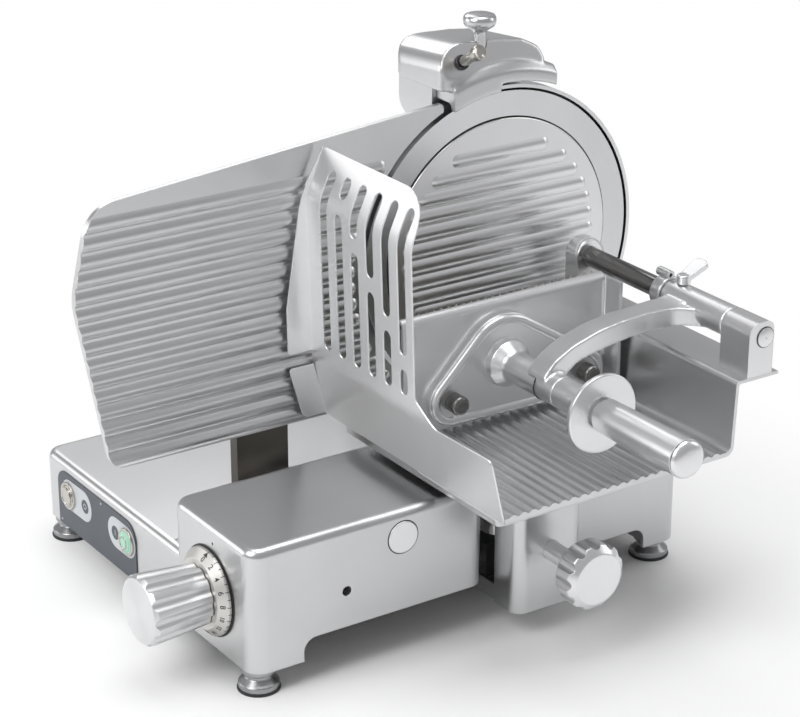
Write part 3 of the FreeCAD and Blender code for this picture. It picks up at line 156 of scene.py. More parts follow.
def bumped(tree, shader, height, strength, distance, edge):
    """Relief from a height, over edges rounded to a radius in metres."""
    bump = add_node(tree, "ShaderNodeBump")
    bump.inputs["Strength"].default_value = strength
    bump.inputs["Distance"].default_value = distance
    tree.links.new(height, bump.inputs["Height"])
    if edge:
        bevel = add_node(tree, "ShaderNodeBevel", samples=4)
        bevel.inputs["Radius"].default_value = edge
        tree.links.new(bevel.outputs["Normal"], bump.inputs["Normal"])
    tree.links.new(bump.outputs["Normal"], shader.inputs["Normal"])


EVEN = (1, 1, 1)
ALONG_X = (0.05, 1, 1)
ALONG_Y = (1, 0.05, 1)
ALONG_Z = (1, 1, 0.05)
METAL_GLOSS_PLAY = 0.012
PLASTIC_GLOSS_PLAY = 0.05


def metal(name, tone, dark, rough, stretch=EVEN, strength=0.02, edge=0.0006, turned=None, grain=2600.0):
    """Metal with grain along the stretch, cloudy tone and uneven gloss; turned names its lathe axis."""
    material, tree, shader = new_material(name)
    shader.inputs["Metallic"].default_value = 1.0
    cloud = noise(tree, 9.0, 4.0)
    colour = mixed(tree, span(tree, cloud, 0.3, 0.7, 0.0, 1.0), dark, tone)
    tree.links.new(colour, shader.inputs["Base Color"])
    fine = noise(tree, grain, 2.0, stretch)
    gloss = span(tree, fine, 0.25, 0.75, rough - METAL_GLOSS_PLAY, rough + METAL_GLOSS_PLAY)
    tree.links.new(gloss, shader.inputs["Roughness"])
    if turned:
        shader.inputs["Anisotropic"].default_value = 0.85
        tangent = add_node(tree, "ShaderNodeTangent", direction_type="RADIAL", axis=turned)
        tree.links.new(tangent.outputs["Tangent"], shader.inputs["Tangent"])
    bumped(tree, shader, fine, strength, 0.00005, edge)
    return material


def plastic(name, tone, dark, rough, grain=1400.0, strength=0.08):
    """Plastic or rubber with a faint grain."""
    material, tree, shader = new_material(name)
    fine = noise(tree, grain, 3.0)
    colour = mixed(tree, span(tree, noise(tree, 30.0), 0.3, 0.7, 0.0, 1.0), dark, tone)
    tree.links.new(colour, shader.inputs["Base Color"])
    gloss = span(tree, fine, 0.3, 0.7, rough - PLASTIC_GLOSS_PLAY, rough + PLASTIC_GLOSS_PLAY)
    tree.links.new(gloss, shader.inputs["Roughness"])
    bumped(tree, shader, fine, strength, 0.0002, 0.0004)
    return material


def grey(tone, cool=0.006):
    """Grey that leans to blue by a little."""
    return (tone, tone + cool * 0.5, tone + cool)


# ---- finishes ----------------------------------------------------------------------

CAST = metal("cast_alu", grey(0.66), grey(0.61), 0.29, EVEN, 0.04, 0.0012, grain=2200.0)
SATIN = metal("satin_alu", grey(0.80), grey(0.76), 0.30, ALONG_X)
# Gauge plate aluminium is a darker copy of the satin aluminium: painted shade for the dark that the plate
# mirrors beside the guard.
GAUGE_SHADED = metal("gauge_alu_shaded", grey(0.68), grey(0.64), 0.31, ALONG_X)
SATIN_Y = metal("satin_alu_lengthwise", grey(0.70), grey(0.66), 0.30, ALONG_Y)
SATIN_Z = metal("satin_alu_upright", grey(0.92), grey(0.89), 0.40, ALONG_Z)
POLISHED = metal("polished_casting", grey(0.82), grey(0.77), 0.31, EVEN, 0.03, 0.0012, grain=2200.0)
TURNED_X = metal("turned_alu_x", grey(0.76), grey(0.71), 0.30, turned="X")
TURNED_Y = metal("turned_alu_y", grey(0.84), grey(0.80), 0.30, edge=0.0008)
CHROME = metal("polished_knob", grey(0.66), grey(0.61), 0.25, EVEN, 0.01, 0.0008)
DIAL_FACE = metal("dial_face", (0.68, 0.67, 0.64), (0.63, 0.62, 0.59), 0.42, EVEN, 0.03, 0.0005)
BLADE_STEEL = metal("blade_steel", grey(0.70, 0.02), grey(0.65, 0.02), 0.20, EVEN, 0.01, 0.0, "Y")
DARK_STEEL = metal("dark_steel", (0.24, 0.235, 0.23), (0.18, 0.175, 0.17), 0.16, ALONG_Y)
PIN_STEEL = metal("pin_steel", (0.24, 0.235, 0.23), (0.18, 0.175, 0.17), 0.28, EVEN, 0.03)
# The post's dark brownish tone is a painted reflection: the polished steel is given the dark and brown that
# it mirrors.
POST_STEEL = metal("post_steel", (0.17, 0.155, 0.14), (0.11, 0.10, 0.09), 0.24, ALONG_Z)
BRIGHT_STEEL = metal("bright_steel", (0.60, 0.58, 0.54), (0.50, 0.48, 0.44), 0.18)
BLACK = plastic("black_plastic", (0.030, 0.030, 0.033), (0.018, 0.018, 0.020), 0.42)
PANEL = plastic("panel_face", (0.075, 0.088, 0.105), (0.065, 0.076, 0.092), 0.42)
PALE = plastic("panel_field", (0.60, 0.62, 0.64), (0.55, 0.57, 0.59), 0.40)
INK = plastic("dial_ink", (0.030, 0.030, 0.032), (0.020, 0.020, 0.022), 0.55)
FOOT = metal("foot_metal", grey(0.42), grey(0.34), 0.28)
GREEN = plastic("green_lens", (0.44, 0.74, 0.58), (0.34, 0.64, 0.48), 0.16, strength=0.01)
STONE = plastic("grinding_stone", (0.78, 0.75, 0.70), (0.62, 0.60, 0.56), 0.85, 2500.0, 0.5)
BELT = plastic("belt_rubber", (0.04, 0.04, 0.04), (0.025, 0.025, 0.025), 0.7)

LOOKS = {
    CAST: ["base_casting", "head_casting", "rear_cover", "motor_housing", "carriage_arm"],
    POLISHED: ["sharpener_housing", "press_arm", "pusher_boss", "rod_bracket", "rod_lug", "wing_lever"],
    SATIN: ["blade_cover", "guard_ring", "slice_deflector", "pusher_plate"],
    GAUGE_SHADED: ["gauge_plate"],
    SATIN_Y: ["carriage_tray", "rod_bush"],
    SATIN_Z: ["hand_guard"],
    TURNED_X: ["thickness_knob"],
    TURNED_Y: ["lock_knob", "hand_disc", "handle_grip", "access_cap", "cover_tie_rod", "blade_pulley"],
    CHROME: ["grind_knob"],
    DIAL_FACE: ["dial_ring"],
    BLADE_STEEL: ["blade"],
    DARK_STEEL: ["pusher_rod"],
    PIN_STEEL: ["pusher_pins"],
    POST_STEEL: ["gauge_post"],
    BRIGHT_STEEL: ["blade_shaft", "blade_bearings", "blade_screws", "motor_rotor", "dial_shaft",
                   "gauge_cam", "gauge_carrier", "gauge_follower", "carriage_guide_bar",
                   "rear_guide_bar", "button_bezels", "dial_bushing", "pusher_teeth", "stop_button",
                   "deburr_pin"],
    BLACK: ["drive_motor", "gauge_bearings", "slide_block", "cable_gland", "deburr_bush"],
    PANEL: ["control_panel"],
    FOOT: ["foot_front_left", "foot_front_right", "foot_rear_left", "foot_rear_right"],
    GREEN: ["start_button"],
    STONE: ["grind_wheel"],
    BELT: ["drive_belt"],
}


def dress_nodes():
    """Gives each CAD node its finish."""
    for material, names in LOOKS.items():
        for name in names:
            mesh = frame["nodes"][name].data
            mesh.materials.clear()
            mesh.materials.append(material)


dress_nodes()


# ---- mesh helpers, all in mm from the blade centre ---------------------------------

def placed(name, data):
    """New object in the scene."""
    piece = bpy.data.objects.new(name, data)
    bpy.context.scene.collection.objects.link(piece)
    return piece


def cleaned(bm):
    """Merges points that coincide and turns all faces outward."""
    bmesh.ops.remove_doubles(bm, verts=bm.verts, dist=MERGE)
    bmesh.ops.recalc_face_normals(bm, faces=bm.faces)


def stored(bm, name):
    """Mesh of the faces built so far."""
    mesh = bpy.data.meshes.new(name)
    bm.to_mesh(mesh)
    bm.free()
    return mesh


def mesh_piece(name, bm, material, body, corner=32.0):
    """Finished piece in metres that rides a body; edges sharper than corner degrees stay sharp."""
    cleaned(bm)
    bm.transform(Matrix.Translation(BLADE) @ Matrix.Scale(1 / MM_PER_M, 4))
    mesh = stored(bm, name)
    mesh.materials.append(material)
    mesh.polygons.foreach_set("use_smooth", [True] * len(mesh.polygons))
    mesh.set_sharp_from_angle(angle=math.radians(corner))
    piece = placed(name, mesh)
    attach(piece, body)
    return piece


def flat_radius(radius, flats, angle):
    """Distance to the side of a polygon whose flats lie at the radius."""
    sector = 2 * math.pi / flats
    return radius / math.cos(angle % sector - sector / 2)


def lathe(bm, profile, place, direction, steps=48, start=0.0, sweep=360.0):
    """Turns (radius, along) points about a line; a third value gives that ring flats."""
    along = Vector(direction).normalized()
    side = Vector((0, 0, 1)) if abs(along.z) < 0.9 else Vector((1, 0, 0))
    side = (side - along * side.dot(along)).normalized()
    across = along.cross(side)
    whole = sweep >= 360.0
    count = steps if whole else steps + 1
    rings = []
    for entry in profile:
        ring = []
        for i in range(count):
            angle = math.radians(start + sweep * i / steps)
            radius = flat_radius(entry[0], entry[2], angle) if len(entry) > 2 else entry[0]
            spoke = side * math.cos(angle) + across * math.sin(angle)
            ring.append(bm.verts.new(Vector(place) + along * entry[1] + spoke * radius))
        rings.append(ring)
    for low, high in zip(rings, rings[1:]):
        for i in range(steps):
            j = (i + 1) % count
            bm.faces.new((low[i], low[j], high[j], high[i]))
    if not whole:
        for i in (0, -1):
            bm.faces.new([ring[i] for ring in rings])


def prism(bm, loop, run):
    """Closed solid between a loop of points and the same loop moved along run."""
    low = [bm.verts.new(point) for point in loop]
    high = [bm.verts.new(Vector(point) + Vector(run)) for point in loop]
    bm.faces.new(low)
    bm.faces.new(high)
    for i in range(len(loop)):
        j = (i + 1) % len(loop)
        bm.faces.new((low[i], low[j], high[j], high[i]))


def pill(first, second, radius, steps=20):
    """Outline round two equal circles."""
    tilt = math.atan2(second[1] - first[1], second[0] - first[0])
    loop = []
    for (u, v), turn in ((second, tilt - math.pi / 2), (first, tilt + math.pi / 2)):
        for i in range(steps + 1):
            angle = turn + math.pi * i / steps
            loop.append((u + radius * math.cos(angle), v + radius * math.sin(angle)))
    return loop


def socket_screw(bm, place, direction, radius, tall):
    """Cap screw head with a hexagon recess."""
    key = radius * 0.5
    profile = [(radius, 0), (radius, tall - 0.5), (radius - 0.5, tall), (key + 0.3, tall),
               (key, tall - 0.3, 6), (key, tall * 0.45, 6), (0.0, tall * 0.4)]
    lathe(bm, profile, place, direction, 24)


def mesh_from(curve):
    """Mesh of a curve or a text, which goes."""
    holder = bpy.data.objects.new(curve.name, curve)
    mesh = bpy.data.meshes.new_from_object(holder)
    bpy.data.objects.remove(holder)
    bpy.data.curves.remove(curve)
    return mesh


def glyphs(bm, text, size, right, up, normal, place):
    """Lays a text on a plane, a little proud of it."""
    curve = bpy.data.curves.new("glyphs", "FONT")
    curve.body = text
    curve.size = size
    curve.align_x = "CENTER"
    curve.align_y = "CENTER"
    curve.extrude = GLYPH_HALF
    curve.offset = GLYPH_BOLD
    mesh = mesh_from(curve)
    turn = Matrix((right, up, normal)).transposed().to_4x4()
    mesh.transform(Matrix.Translation(place) @ turn)
    bm.from_mesh(mesh)
    bpy.data.meshes.remove(mesh)


# ---- thickness dial ----------------------------------------------------------------

def dial_frame(angle):
    """Spoke, tangent and slope direction of the dial cone at an angle."""
    turn = math.radians(angle)
    spoke = Vector((0, math.cos(turn), math.sin(turn)))
    tangent = Vector((0, -math.sin(turn), math.cos(turn)))
    slope = Vector((DIAL_LAND_X - DIAL_NOSE_X, 0, 0)) + spoke * (DIAL_LAND_R - DIAL_NOSE_R)
    slope.normalize()
    return spoke, tangent, slope


def on_cone(angle, share):
    """Point of the cone: share 0 at the knob, 1 at the land."""
    spoke = dial_frame(angle)[0]
    radius = DIAL_NOSE_R + (DIAL_LAND_R - DIAL_NOSE_R) * share
    x = DIAL_NOSE_X + (DIAL_LAND_X - DIAL_NOSE_X) * share
    return Vector((x, DIAL[0], DIAL[1])) + spoke * radius


def outward(angle):
    """Normal of the cone that points away from its axis."""
    spoke, tangent, slope = dial_frame(angle)
    normal = slope.cross(tangent)
    return normal if normal.dot(spoke) > 0 else normal * -1


def dial_numbers():
    """Even figures round the cone, turned to be read from its rim."""
    bm = bmesh.new()
    for i in range(NUMBER_COUNT):
        angle = ZERO_AT + NUMBER_STEP * i
        slope = dial_frame(angle)[2]
        normal = outward(angle)
        right = slope.cross(normal)
        place = on_cone(angle, 0.44 if i else 0.30) + normal * 0.05
        glyphs(bm, str(2 * i), 7.2 if i < 5 else 6.0, right, slope, normal, place)
    mesh_piece("dial_numbers", bm, INK, "dial")


def dial_ticks():
    """Marks across the land, with shorter ones on the cone between the figures."""
    bm = bmesh.new()
    land = Vector((2.4, 0, 0))
    for i in range(2 * NUMBER_COUNT):
        angle = ZERO_AT + NUMBER_STEP / 2 * i
        spoke, tangent = dial_frame(angle)[:2]
        wide = tangent * 0.32
        rim = Vector((DIAL_LAND_X + 0.1, DIAL[0], DIAL[1])) + spoke * (DIAL_LAND_R - 0.05)
        prism(bm, [rim - wide, rim + wide, rim + wide + land, rim - wide + land], spoke * 0.12)
        if i > 1:
            reach = 0.84 if i % 2 == 0 else 0.92
            low, high = on_cone(angle, reach), on_cone(angle, 1.0)
            prism(bm, [low - wide, low + wide, high + wide, high - wide], outward(angle) * 0.08)
    mesh_piece("dial_ticks", bm, INK, "dial")


def dial_zero_mark():
    """Arrow head at zero."""
    bm = bmesh.new()
    tangent = dial_frame(ZERO_AT)[1]
    low, high = on_cone(ZERO_AT, 0.60), on_cone(ZERO_AT, 1.0)
    prism(bm, [low - tangent * 3.0, low + tangent * 3.0, high], outward(ZERO_AT) * 0.1)
    mesh_piece("dial_zero_mark", bm, INK, "dial")


def dial_index():
    """Index on the base, over the zero mark."""
    bm = bmesh.new()
    spoke, tangent = dial_frame(ZERO_AT)[:2]
    tip = Vector((BASE_LEFT, DIAL[0], DIAL[1])) + spoke * 46.5
    tail = tip + spoke * 2.4
    prism(bm, [tip - tangent * 0.9, tip + tangent * 0.9, tail + tangent * 1.0, tail - tangent * 1.0],
          (-0.12, 0, 0))
    mesh_piece("dial_index", bm, INK, "base")


def dial_shade_ring():
    """Black ring that paints the shade in the gap between the dial and the base."""
    bm = bmesh.new()
    lathe(bm, [(30, -0.1), (41.5, -0.1), (41.5, -0.8), (30, -0.8), (30, -0.1)],
          (BASE_LEFT, *DIAL), (1, 0, 0), 96)
    mesh_piece("dial_shade_ring", bm, BLACK, "base")


dial_numbers()
dial_ticks()
dial_zero_mark()
dial_index()
dial_shade_ring()


# ---- control panel -----------------------------------------------------------------

def on_panel(loop):
    """Points of the panel's face from (y, z) pairs."""
    return [(PANEL_FACE, y, z) for y, z in loop]


def holed(loop, y, z, radius):
    """The loop with a round hole in it, both joined by a hair-wide cut."""
    first, last = loop[0], loop[-1]
    cut = (first[0] + 0.001 * (last[0] - first[0]), first[1] + 0.001 * (last[1] - first[1]))
    start = math.atan2(cut[1] - z, cut[0] - y)
    gap = (math.atan2(first[1] - z, first[0] - y) - start) % math.tau
    turns = [start - (math.tau - gap) * i / 48 for i in range(49)]
    return loop + [cut] + [(y + radius * math.cos(turn), z + radius * math.sin(turn)) for turn in turns]


def panel_pieces():
    """Printed fields round the buttons, with their signs and two dots."""
    fields = bmesh.new()
    for loop, y in ((pill((126.0, -220.0), (155.0, -220.5), 15.5), STOP_Y),
                    (pill((40.0, -221.5), (62.0, -221.3), 15.5), START_Y)):
        prism(fields, on_panel(holed(loop, y, BUTTON_Z, BUTTON_ROOM)), (-0.15, 0, 0))
    mesh_piece("panel_fields", fields, PALE, "base")
    icons = bmesh.new()
    marks = bmesh.new()
    for y, z, shape in ((123.8, -220.0, "O"), (63.3, -221.9, "I")):
        lathe(icons, [(0, 0.15), (6.8, 0.15), (6.8, 0.27), (0, 0.27)], (PANEL_FACE, y, z), TO_LEFT, 40)
        glyphs(marks, shape, 8.0, Vector((0, -1, 0)), Vector((0, 0, 1)), Vector((-1, 0, 0)),
               Vector((PANEL_FACE - 0.30, y, z)))
    mesh_piece("panel_icons", icons, PANEL, "base")
    mesh_piece("panel_icon_marks", marks, PALE, "base")
    dots = bmesh.new()
    for y, z in ((90.6, -203.5), (174.5, -252.5)):
        lathe(dots, [(0, 0), (1.3, 0), (1.0, 0.3), (0, 0.35)], (PANEL_FACE, y, z), TO_LEFT, 20)
    mesh_piece("panel_dots", dots, PALE, "base")


def button_caps():
    """Domed lens of the start button and ringed cap of the stop button."""
    lens = bmesh.new()
    lathe(lens, [(9.2, 0), (9.2, 0.3), (8.4, 0.9), (6.0, 1.5), (3.0, 1.8), (0, 1.9)],
          (BUTTON_FACE, START_Y, BUTTON_Z), TO_LEFT, 48)
    mesh_piece("start_lens", lens, GREEN, "start_key", 60.0)
    ring = bmesh.new()
    lathe(ring, [(6.4, 0), (6.4, 0.7), (5.7, 1.0), (5.1, 0.6), (5.1, 0)],
          (BUTTON_FACE - 1.2, START_Y, BUTTON_Z), TO_LEFT, 48)
    mesh_piece("start_ring", ring, BRIGHT_STEEL, "start_key")
    cap = bmesh.new()
    lathe(cap, [(9.6, 0), (9.6, 0.8), (9.0, 1.4), (7.6, 1.4), (7.0, 0.9), (3.5, 0.6), (0, 0.5)],
          (BUTTON_FACE, STOP_Y, BUTTON_Z), TO_LEFT, 48)
    mesh_piece("stop_cap", cap, BRIGHT_STEEL, "stop_key")


panel_pieces()
button_caps()


# ---- seams, seals and end faces ----------------------------------------------------

def ring_piece(name, inner, outer, place, thick, material, body, start=0.0, sweep=360.0):
    """Flat ring, or part of one, that faces the operator."""
    bm = bmesh.new()
    lathe(bm, [(inner, 0), (outer, 0), (outer, thick), (inner, thick), (inner, 0)], place, TO_FRONT, 128,
          start, sweep)
    mesh_piece(name, bm, material, body)


def seams():
    """Dark lines where two parts meet, and the strips behind the gaps round the blade; the black rings at
    the cover's rim and at the guard ring are painted shade in those gaps.
    """
    # Black ring under the cover's rim is painted shade in the gap between the cover and the blade.
    ring_piece("cover_gap_shade", 121.0, 125.4, (0, 3.45, 0), 0.25, BLACK, "blade_unit")
    # Black half ring is painted shade that darkens the gap between the blade and the guard ring.
    ring_piece("guard_gap_shade", 138.0, 152.4, (0, 10.95, 0), 0.4, BLACK, "base",
               180.0, 180.0)
    ring_piece("gauge_gap_liner", 140.0, 153.0, (0, 10.95, 0), 0.4, CAST, "base", 14.0, 110.0)
    ring_piece("cap_seam", 14.4, 15.9, (-229.7, -181.45, -167.0), 0.12, INK, "base")
    ring_piece("grip_seam", 15.6, 16.6, (HANDLE[0], -367.1, HANDLE[1]), 0.6, BLACK, "pusher_arm")
    ring_piece("collar_seam", 14.3, 15.2, (HANDLE[0], -177.7, HANDLE[1]), 0.5, INK, "pusher_arm")
    ring_piece("rod_end_seam", 8.9, 9.8, (ROD[0], -282.95, ROD[1]), 0.15, INK, "carriage")


def end_faces():
    """Faced end of the rod and the dished head of the deburring pin."""
    rod = bmesh.new()
    lathe(rod, [(8.9, 0), (8.9, 0.25), (8.3, 0.6), (1.2, 0.6), (0.6, 0.1), (0, 0)],
          (ROD[0], -283.8, ROD[1]), TO_FRONT, 64)
    mesh_piece("rod_end_face", rod, TURNED_Y, "carriage")
    dish = bmesh.new()
    lathe(dish, [(6.9, -0.6), (7.0, 0.4), (6.4, 1.0), (5.8, 0.9), (3.0, -0.1), (0, -0.9)],
          DEBURR_PLACE + DEBURR_AXIS * 32.0, DEBURR_AXIS, 48)
    mesh_piece("deburr_dish", dish, BRIGHT_STEEL, "deburr_key")


def foot_soles():
    """Rubber ring under each foot."""
    bm = bmesh.new()
    for x, y in FEET:
        lathe(bm, [(15.0, 0.1), (18.9, 0.1), (19.1, 1.2), (18.6, 2.6), (17.9, 2.8)], (x, y, FLOOR_Z), UP, 48)
    mesh_piece("foot_soles", bm, BLACK, "base")


seams()
end_faces()
foot_soles()


# ---- fasteners and the rear --------------------------------------------------------

def fasteners():
    """Screws of the rear cover, the motor housing and the gauge post."""
    cover = bmesh.new()
    for degrees in range(0, 181, 45):
        turn = math.radians(degrees)
        place = (COVER_SCREWS_R * math.cos(turn), COVER_BACK, COVER_SCREWS_R * math.sin(turn))
        socket_screw(cover, place, TO_REAR, 4.6, 3.4)
    for side in (-88, 88):
        socket_screw(cover, (side, COVER_BACK, -41), TO_REAR, 4.6, 3.4)
    mesh_piece("rear_cover_screws", cover, PIN_STEEL, "base")
    housing = bmesh.new()
    for x in (-48, 48):
        for z in (MOTOR_Z + 40, MOTOR_Z - 44):
            socket_screw(housing, (x, HOUSING_BACK, z), TO_REAR, 4.2, 2.8)
    mesh_piece("motor_housing_screws", housing, PIN_STEEL, "base")
    post = bmesh.new()
    for z in (-48, -96):
        socket_screw(post, (-256.0, 22.0, z), TO_REAR, 6.5, 5.5)
    mesh_piece("gauge_post_bolts", post, PIN_STEEL, "gauge")


def louvre(bm, x0, x1, z, y, tall, rise):
    """Pressed hood that opens downward."""
    columns, rows = 16, 6
    grid = []
    for i in range(columns + 1):
        share = i / columns
        ends = min(share, 1 - share) * columns / 3
        height = rise * math.sin(min(ends, 1.0) * math.pi / 2)
        x = x0 + (x1 - x0) * share
        column = []
        for j in range(rows + 1):
            drop = j / rows
            swell = height * math.sin(drop * math.pi / 2)
            column.append(bm.verts.new((x, y + 0.05 + swell, z - tall * drop)))
        grid.append(column)
    for first, second in zip(grid, grid[1:]):
        for j in range(rows):
            bm.faces.new((first[j], first[j + 1], second[j + 1], second[j]))


def louvres():
    """Seven pressed hoods, each over a black strip that paints the shade of the opening under it."""
    hoods = bmesh.new()
    slots = bmesh.new()
    for i in range(7):
        z = MOTOR_Z + 28 - 11 * i
        louvre(hoods, -34, 34, z, HOUSING_BACK, 6.0, 3.2)
        # Black strip is painted shade standing for the opening under the hood.
        slot = [(-30, z - 4.0), (30, z - 4.0), (30, z - 6.6), (-30, z - 6.6)]
        prism(slots, [(x, HOUSING_BACK, low) for x, low in slot], (0, 0.12, 0))
    mesh_piece("motor_louvres", hoods, CAST, "base", 50.0)
    mesh_piece("motor_louvre_slot_shade", slots, BLACK, "base")


fasteners()
louvres()


# ---- forms that stand for a plainer solid ------------------------------------------

def rounded(corners, steps=8):
    """Closed loop through (u, v) or (u, v, radius) corners, as points."""
    loop = []
    for i, corner in enumerate(corners):
        spot = Vector(corner[:2])
        if len(corner) < 3:
            loop.append(tuple(spot))
            continue
        back = (Vector(corners[i - 1][:2]) - spot).normalized()
        ahead = (Vector(corners[(i + 1) % len(corners)][:2]) - spot).normalized()
        half = back.angle(ahead) / 2
        centre = spot + (back + ahead).normalized() * (corner[2] / math.sin(half))
        first = spot + back * (corner[2] / math.tan(half)) - centre
        last = spot + ahead * (corner[2] / math.tan(half)) - centre
        for k in range(steps + 1):
            spoke = first.lerp(last, k / steps)
            loop.append(tuple(centre + spoke.normalized() * corner[2]))
    return loop


def solid(build):
    """Scratch object whose mesh is made by build(bm), in mm."""
    bm = bmesh.new()
    build(bm)
    cleaned(bm)
    return placed("scratch", stored(bm, "scratch"))


def taken(piece):
    """Faces of a scratch object, which goes."""
    bm = bmesh.new()
    bm.from_mesh(piece.data)
    bpy.data.objects.remove(piece)
    return bm


def applied(piece):
    """Gives the object the mesh that its modifiers make."""
    graph = bpy.context.evaluated_depsgraph_get()
    mesh = bpy.data.meshes.new_from_object(piece.evaluated_get(graph))
    old = piece.data
    piece.modifiers.clear()
    piece.data = mesh
    bpy.data.meshes.remove(old)


def joined(piece, tool, operation):
    """Adds, cuts or keeps what the tool covers; the tool goes."""
    change = piece.modifiers.new("join", "BOOLEAN")
    change.operation = operation
    change.solver = "EXACT"
    change.object = tool
    applied(piece)
    bpy.data.objects.remove(tool)


def softened(piece, voxel, repeats):
    """Runs the pieces of a casting together and rounds its edges."""
    cells = piece.modifiers.new("cells", "REMESH")
    cells.mode = "VOXEL"
    cells.voxel_size = voxel
    soft = piece.modifiers.new("soft", "SMOOTH")
    soft.factor = 0.5
    soft.iterations = repeats
    applied(piece)


def finished(piece, name, material, body, node, corner=40.0):
    """Turns a scratch object into the piece that stands for a node."""
    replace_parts(mesh_piece(name, taken(piece), material, body, corner), node)


def slab_xz(bm, corners, y0, y1):
    """Prism of (x, z) corners."""
    prism(bm, [(x, y0, z) for x, z in rounded(corners)], (0, y1 - y0, 0))


def slab_yz(bm, corners, x0, x1):
    """Prism of (y, z) corners."""
    prism(bm, [(x0, y, z) for y, z in rounded(corners)], (x1 - x0, 0, 0))


def slab_xy(bm, corners, z0, z1):
    """Prism of (x, y) corners."""
    prism(bm, [(x, y, z0) for x, y in rounded(corners)], (0, 0, z1 - z0))


def closed_bar(bm, radius, start, direction, long):
    """Round bar with closed ends."""
    lathe(bm, [(0, 0), (radius, 0), (radius, long), (0, long)], start, direction, 40)


def hull_loop(circles, step=6.0):
    """Outline round circles, as points evenly found by their furthest reach in each direction."""
    loop = []
    turns = int(360 / step)
    for i in range(turns):
        angle = 2 * math.pi * i / turns
        way = Vector((math.cos(angle), math.sin(angle)))
        u, v, radius = max(circles, key=lambda c: c[0] * way.x + c[1] * way.y + c[2])
        loop.append((u + radius * way.x, v + radius * way.y))
    return loop


# Sharpener

def sharpener():
    """Cast housing with a sloped front, over the curved flange beside the blade."""
    front = [(-68, 154), (49, 154), (49, 172, 12), (44, 188, 14), (26, 197.4, 20), (-4, 201, 60),
             (-36, 202.4, 60), (-68, 201.4, 25)]
    side = [(-5, 160), (80, 160), (80, 220), (16, 220), (-5, 172, 5)]
    plan = [(-68, -5, 9), (49, -5, 8), (49, 80, 34), (-68, 80, 16)]
    lean = (0, 96, -8.8)
    body = solid(lambda bm: prism(bm, [(x, -12, z) for x, z in rounded(front)], lean))
    joined(body, solid(lambda bm: slab_yz(bm, side, -80, 60)), "INTERSECT")
    joined(body, solid(lambda bm: slab_xy(bm, plan, 150, 210)), "INTERSECT")
    flange = [(152.2, -10), (171, -10), (178, -4), (178, 22), (158.4, 22), (158.4, -1.4), (152.2, -1.4),
              (152.2, -10)]
    ring = solid(lambda bm: lathe(bm, flange, (0, 0, 0), TO_REAR, 240))
    joined(ring, solid(lambda bm: slab_xz(bm, [(-58, 100), (58, 100), (58, 190), (-58, 190)], -11, 23)),
           "INTERSECT")
    joined(ring, solid(lambda bm: slab_xz(bm, rim_room(), -11, 23)), "DIFFERENCE")
    joined(body, ring, "UNION")
    softened(body, 1.3, 10)
    room = [(-1, 145), (29, 145), (29, 190), (9, 190), (-1, 172)]
    joined(body, solid(lambda bm: slab_yz(bm, room, -54, 29)), "DIFFERENCE")
    joined(body, solid(lambda bm: closed_bar(bm, 6.5, (*KNOB_PLACE, 180), UP, 40)), "DIFFERENCE")
    joined(body, solid(lambda bm: closed_bar(bm, 5.3, DEBURR_PLACE - DEBURR_AXIS * 12, DEBURR_AXIS, 40)),
           "DIFFERENCE")
    finished(body, "sharpener_casting", CAST, "base", "sharpener_housing", 50.0)


def rim_room():
    """Room of the guard ring in the right part of the flange."""
    arc = []
    for i in range(25):
        angle = math.radians(92 - 32 * i / 24)
        arc.append((160.0 * math.cos(angle), 160.0 * math.sin(angle)))
    return arc + [(80, 100), (-5.6, 100)]


def grinding_knob():
    """Mushroom knob with its spindle and the fork of the wheel."""
    bm = bmesh.new()
    profile = [(0, 176), (6.2, 176), (6.2, 205.4), (6.3, 207.2), (7.0, 208.3), (8.4, 209.5),
               (10.6, 211.0), (13.4, 212.8), (15.0, 215.4), (15.3, 218.8), (14.9, 221.2), (13.8, 222.9),
               (11.8, 223.6), (6, 224.2), (0, 224.4)]
    lathe(bm, profile, (*KNOB_PLACE, 0), UP, 64)
    x, y = KNOB_PLACE
    for low, high in ((x - 7, x - 4.4), (x + 4.4, x + 7)):
        slab_yz(bm, [(y - 5, 164), (y + 5, 164), (y + 5, 178), (y - 5, 178)], low, high)
    slab_yz(bm, [(y - 5, 175.6), (y + 5, 175.6), (y + 5, 178), (y - 5, 178)], x - 4.4, x + 4.4)
    closed_bar(bm, 1.5, (x - 7, y, 166), (1, 0, 0), 14)
    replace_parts(mesh_piece("grinding_knob_turned", bm, CHROME, "grind_key", 40.0),
                "grind_knob")


def deburring_bush():
    """Collar that guides the deburring pin."""
    bm = bmesh.new()
    lathe(bm, [(5.3, -2), (7.0, -2), (7.0, 1.6), (6.5, 2.2), (5.3, 2.2), (5.3, -2)], DEBURR_PLACE,
          DEBURR_AXIS, 48)
    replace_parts(mesh_piece("deburring_bush_ring", bm, BLACK, "base"), "deburr_bush")


# Hand guard
GUARD_SHEET = 1.4
GUARD_BEND = [(-197, -122.5), (-211.5, -60.8, 60), (-216, 92, 40), (-197, 134)]
GUARD_FRONT, GUARD_REAR = -283, -5
SLOT_HALF = 6.2
SLOT_FIRST, SLOT_PITCH = -34, 24.4
SLOT_LOW, SLOT_HIGH = -47.0, 120.0
BRIDGE_HALF = 6.5
BRIDGES = (None, 95.0, 67.0, 38.5, 11.0, -17.0)


def guard_line():
    """Points of the bent line of the guard, seen from the front."""
    closed = rounded(GUARD_BEND + [(-100, 134), (-100, -122.5)], 10)
    return sorted({(round(z, 3), round(x, 3)) for x, z in closed if x < -190})


def bent_x(line, z):
    """Place of the bent line at a height."""
    for (z0, x0), (z1, x1) in zip(line, line[1:]):
        if z <= z1:
            return x0 + (x1 - x0) * (z - z0) / (z1 - z0)
    return line[-1][1]


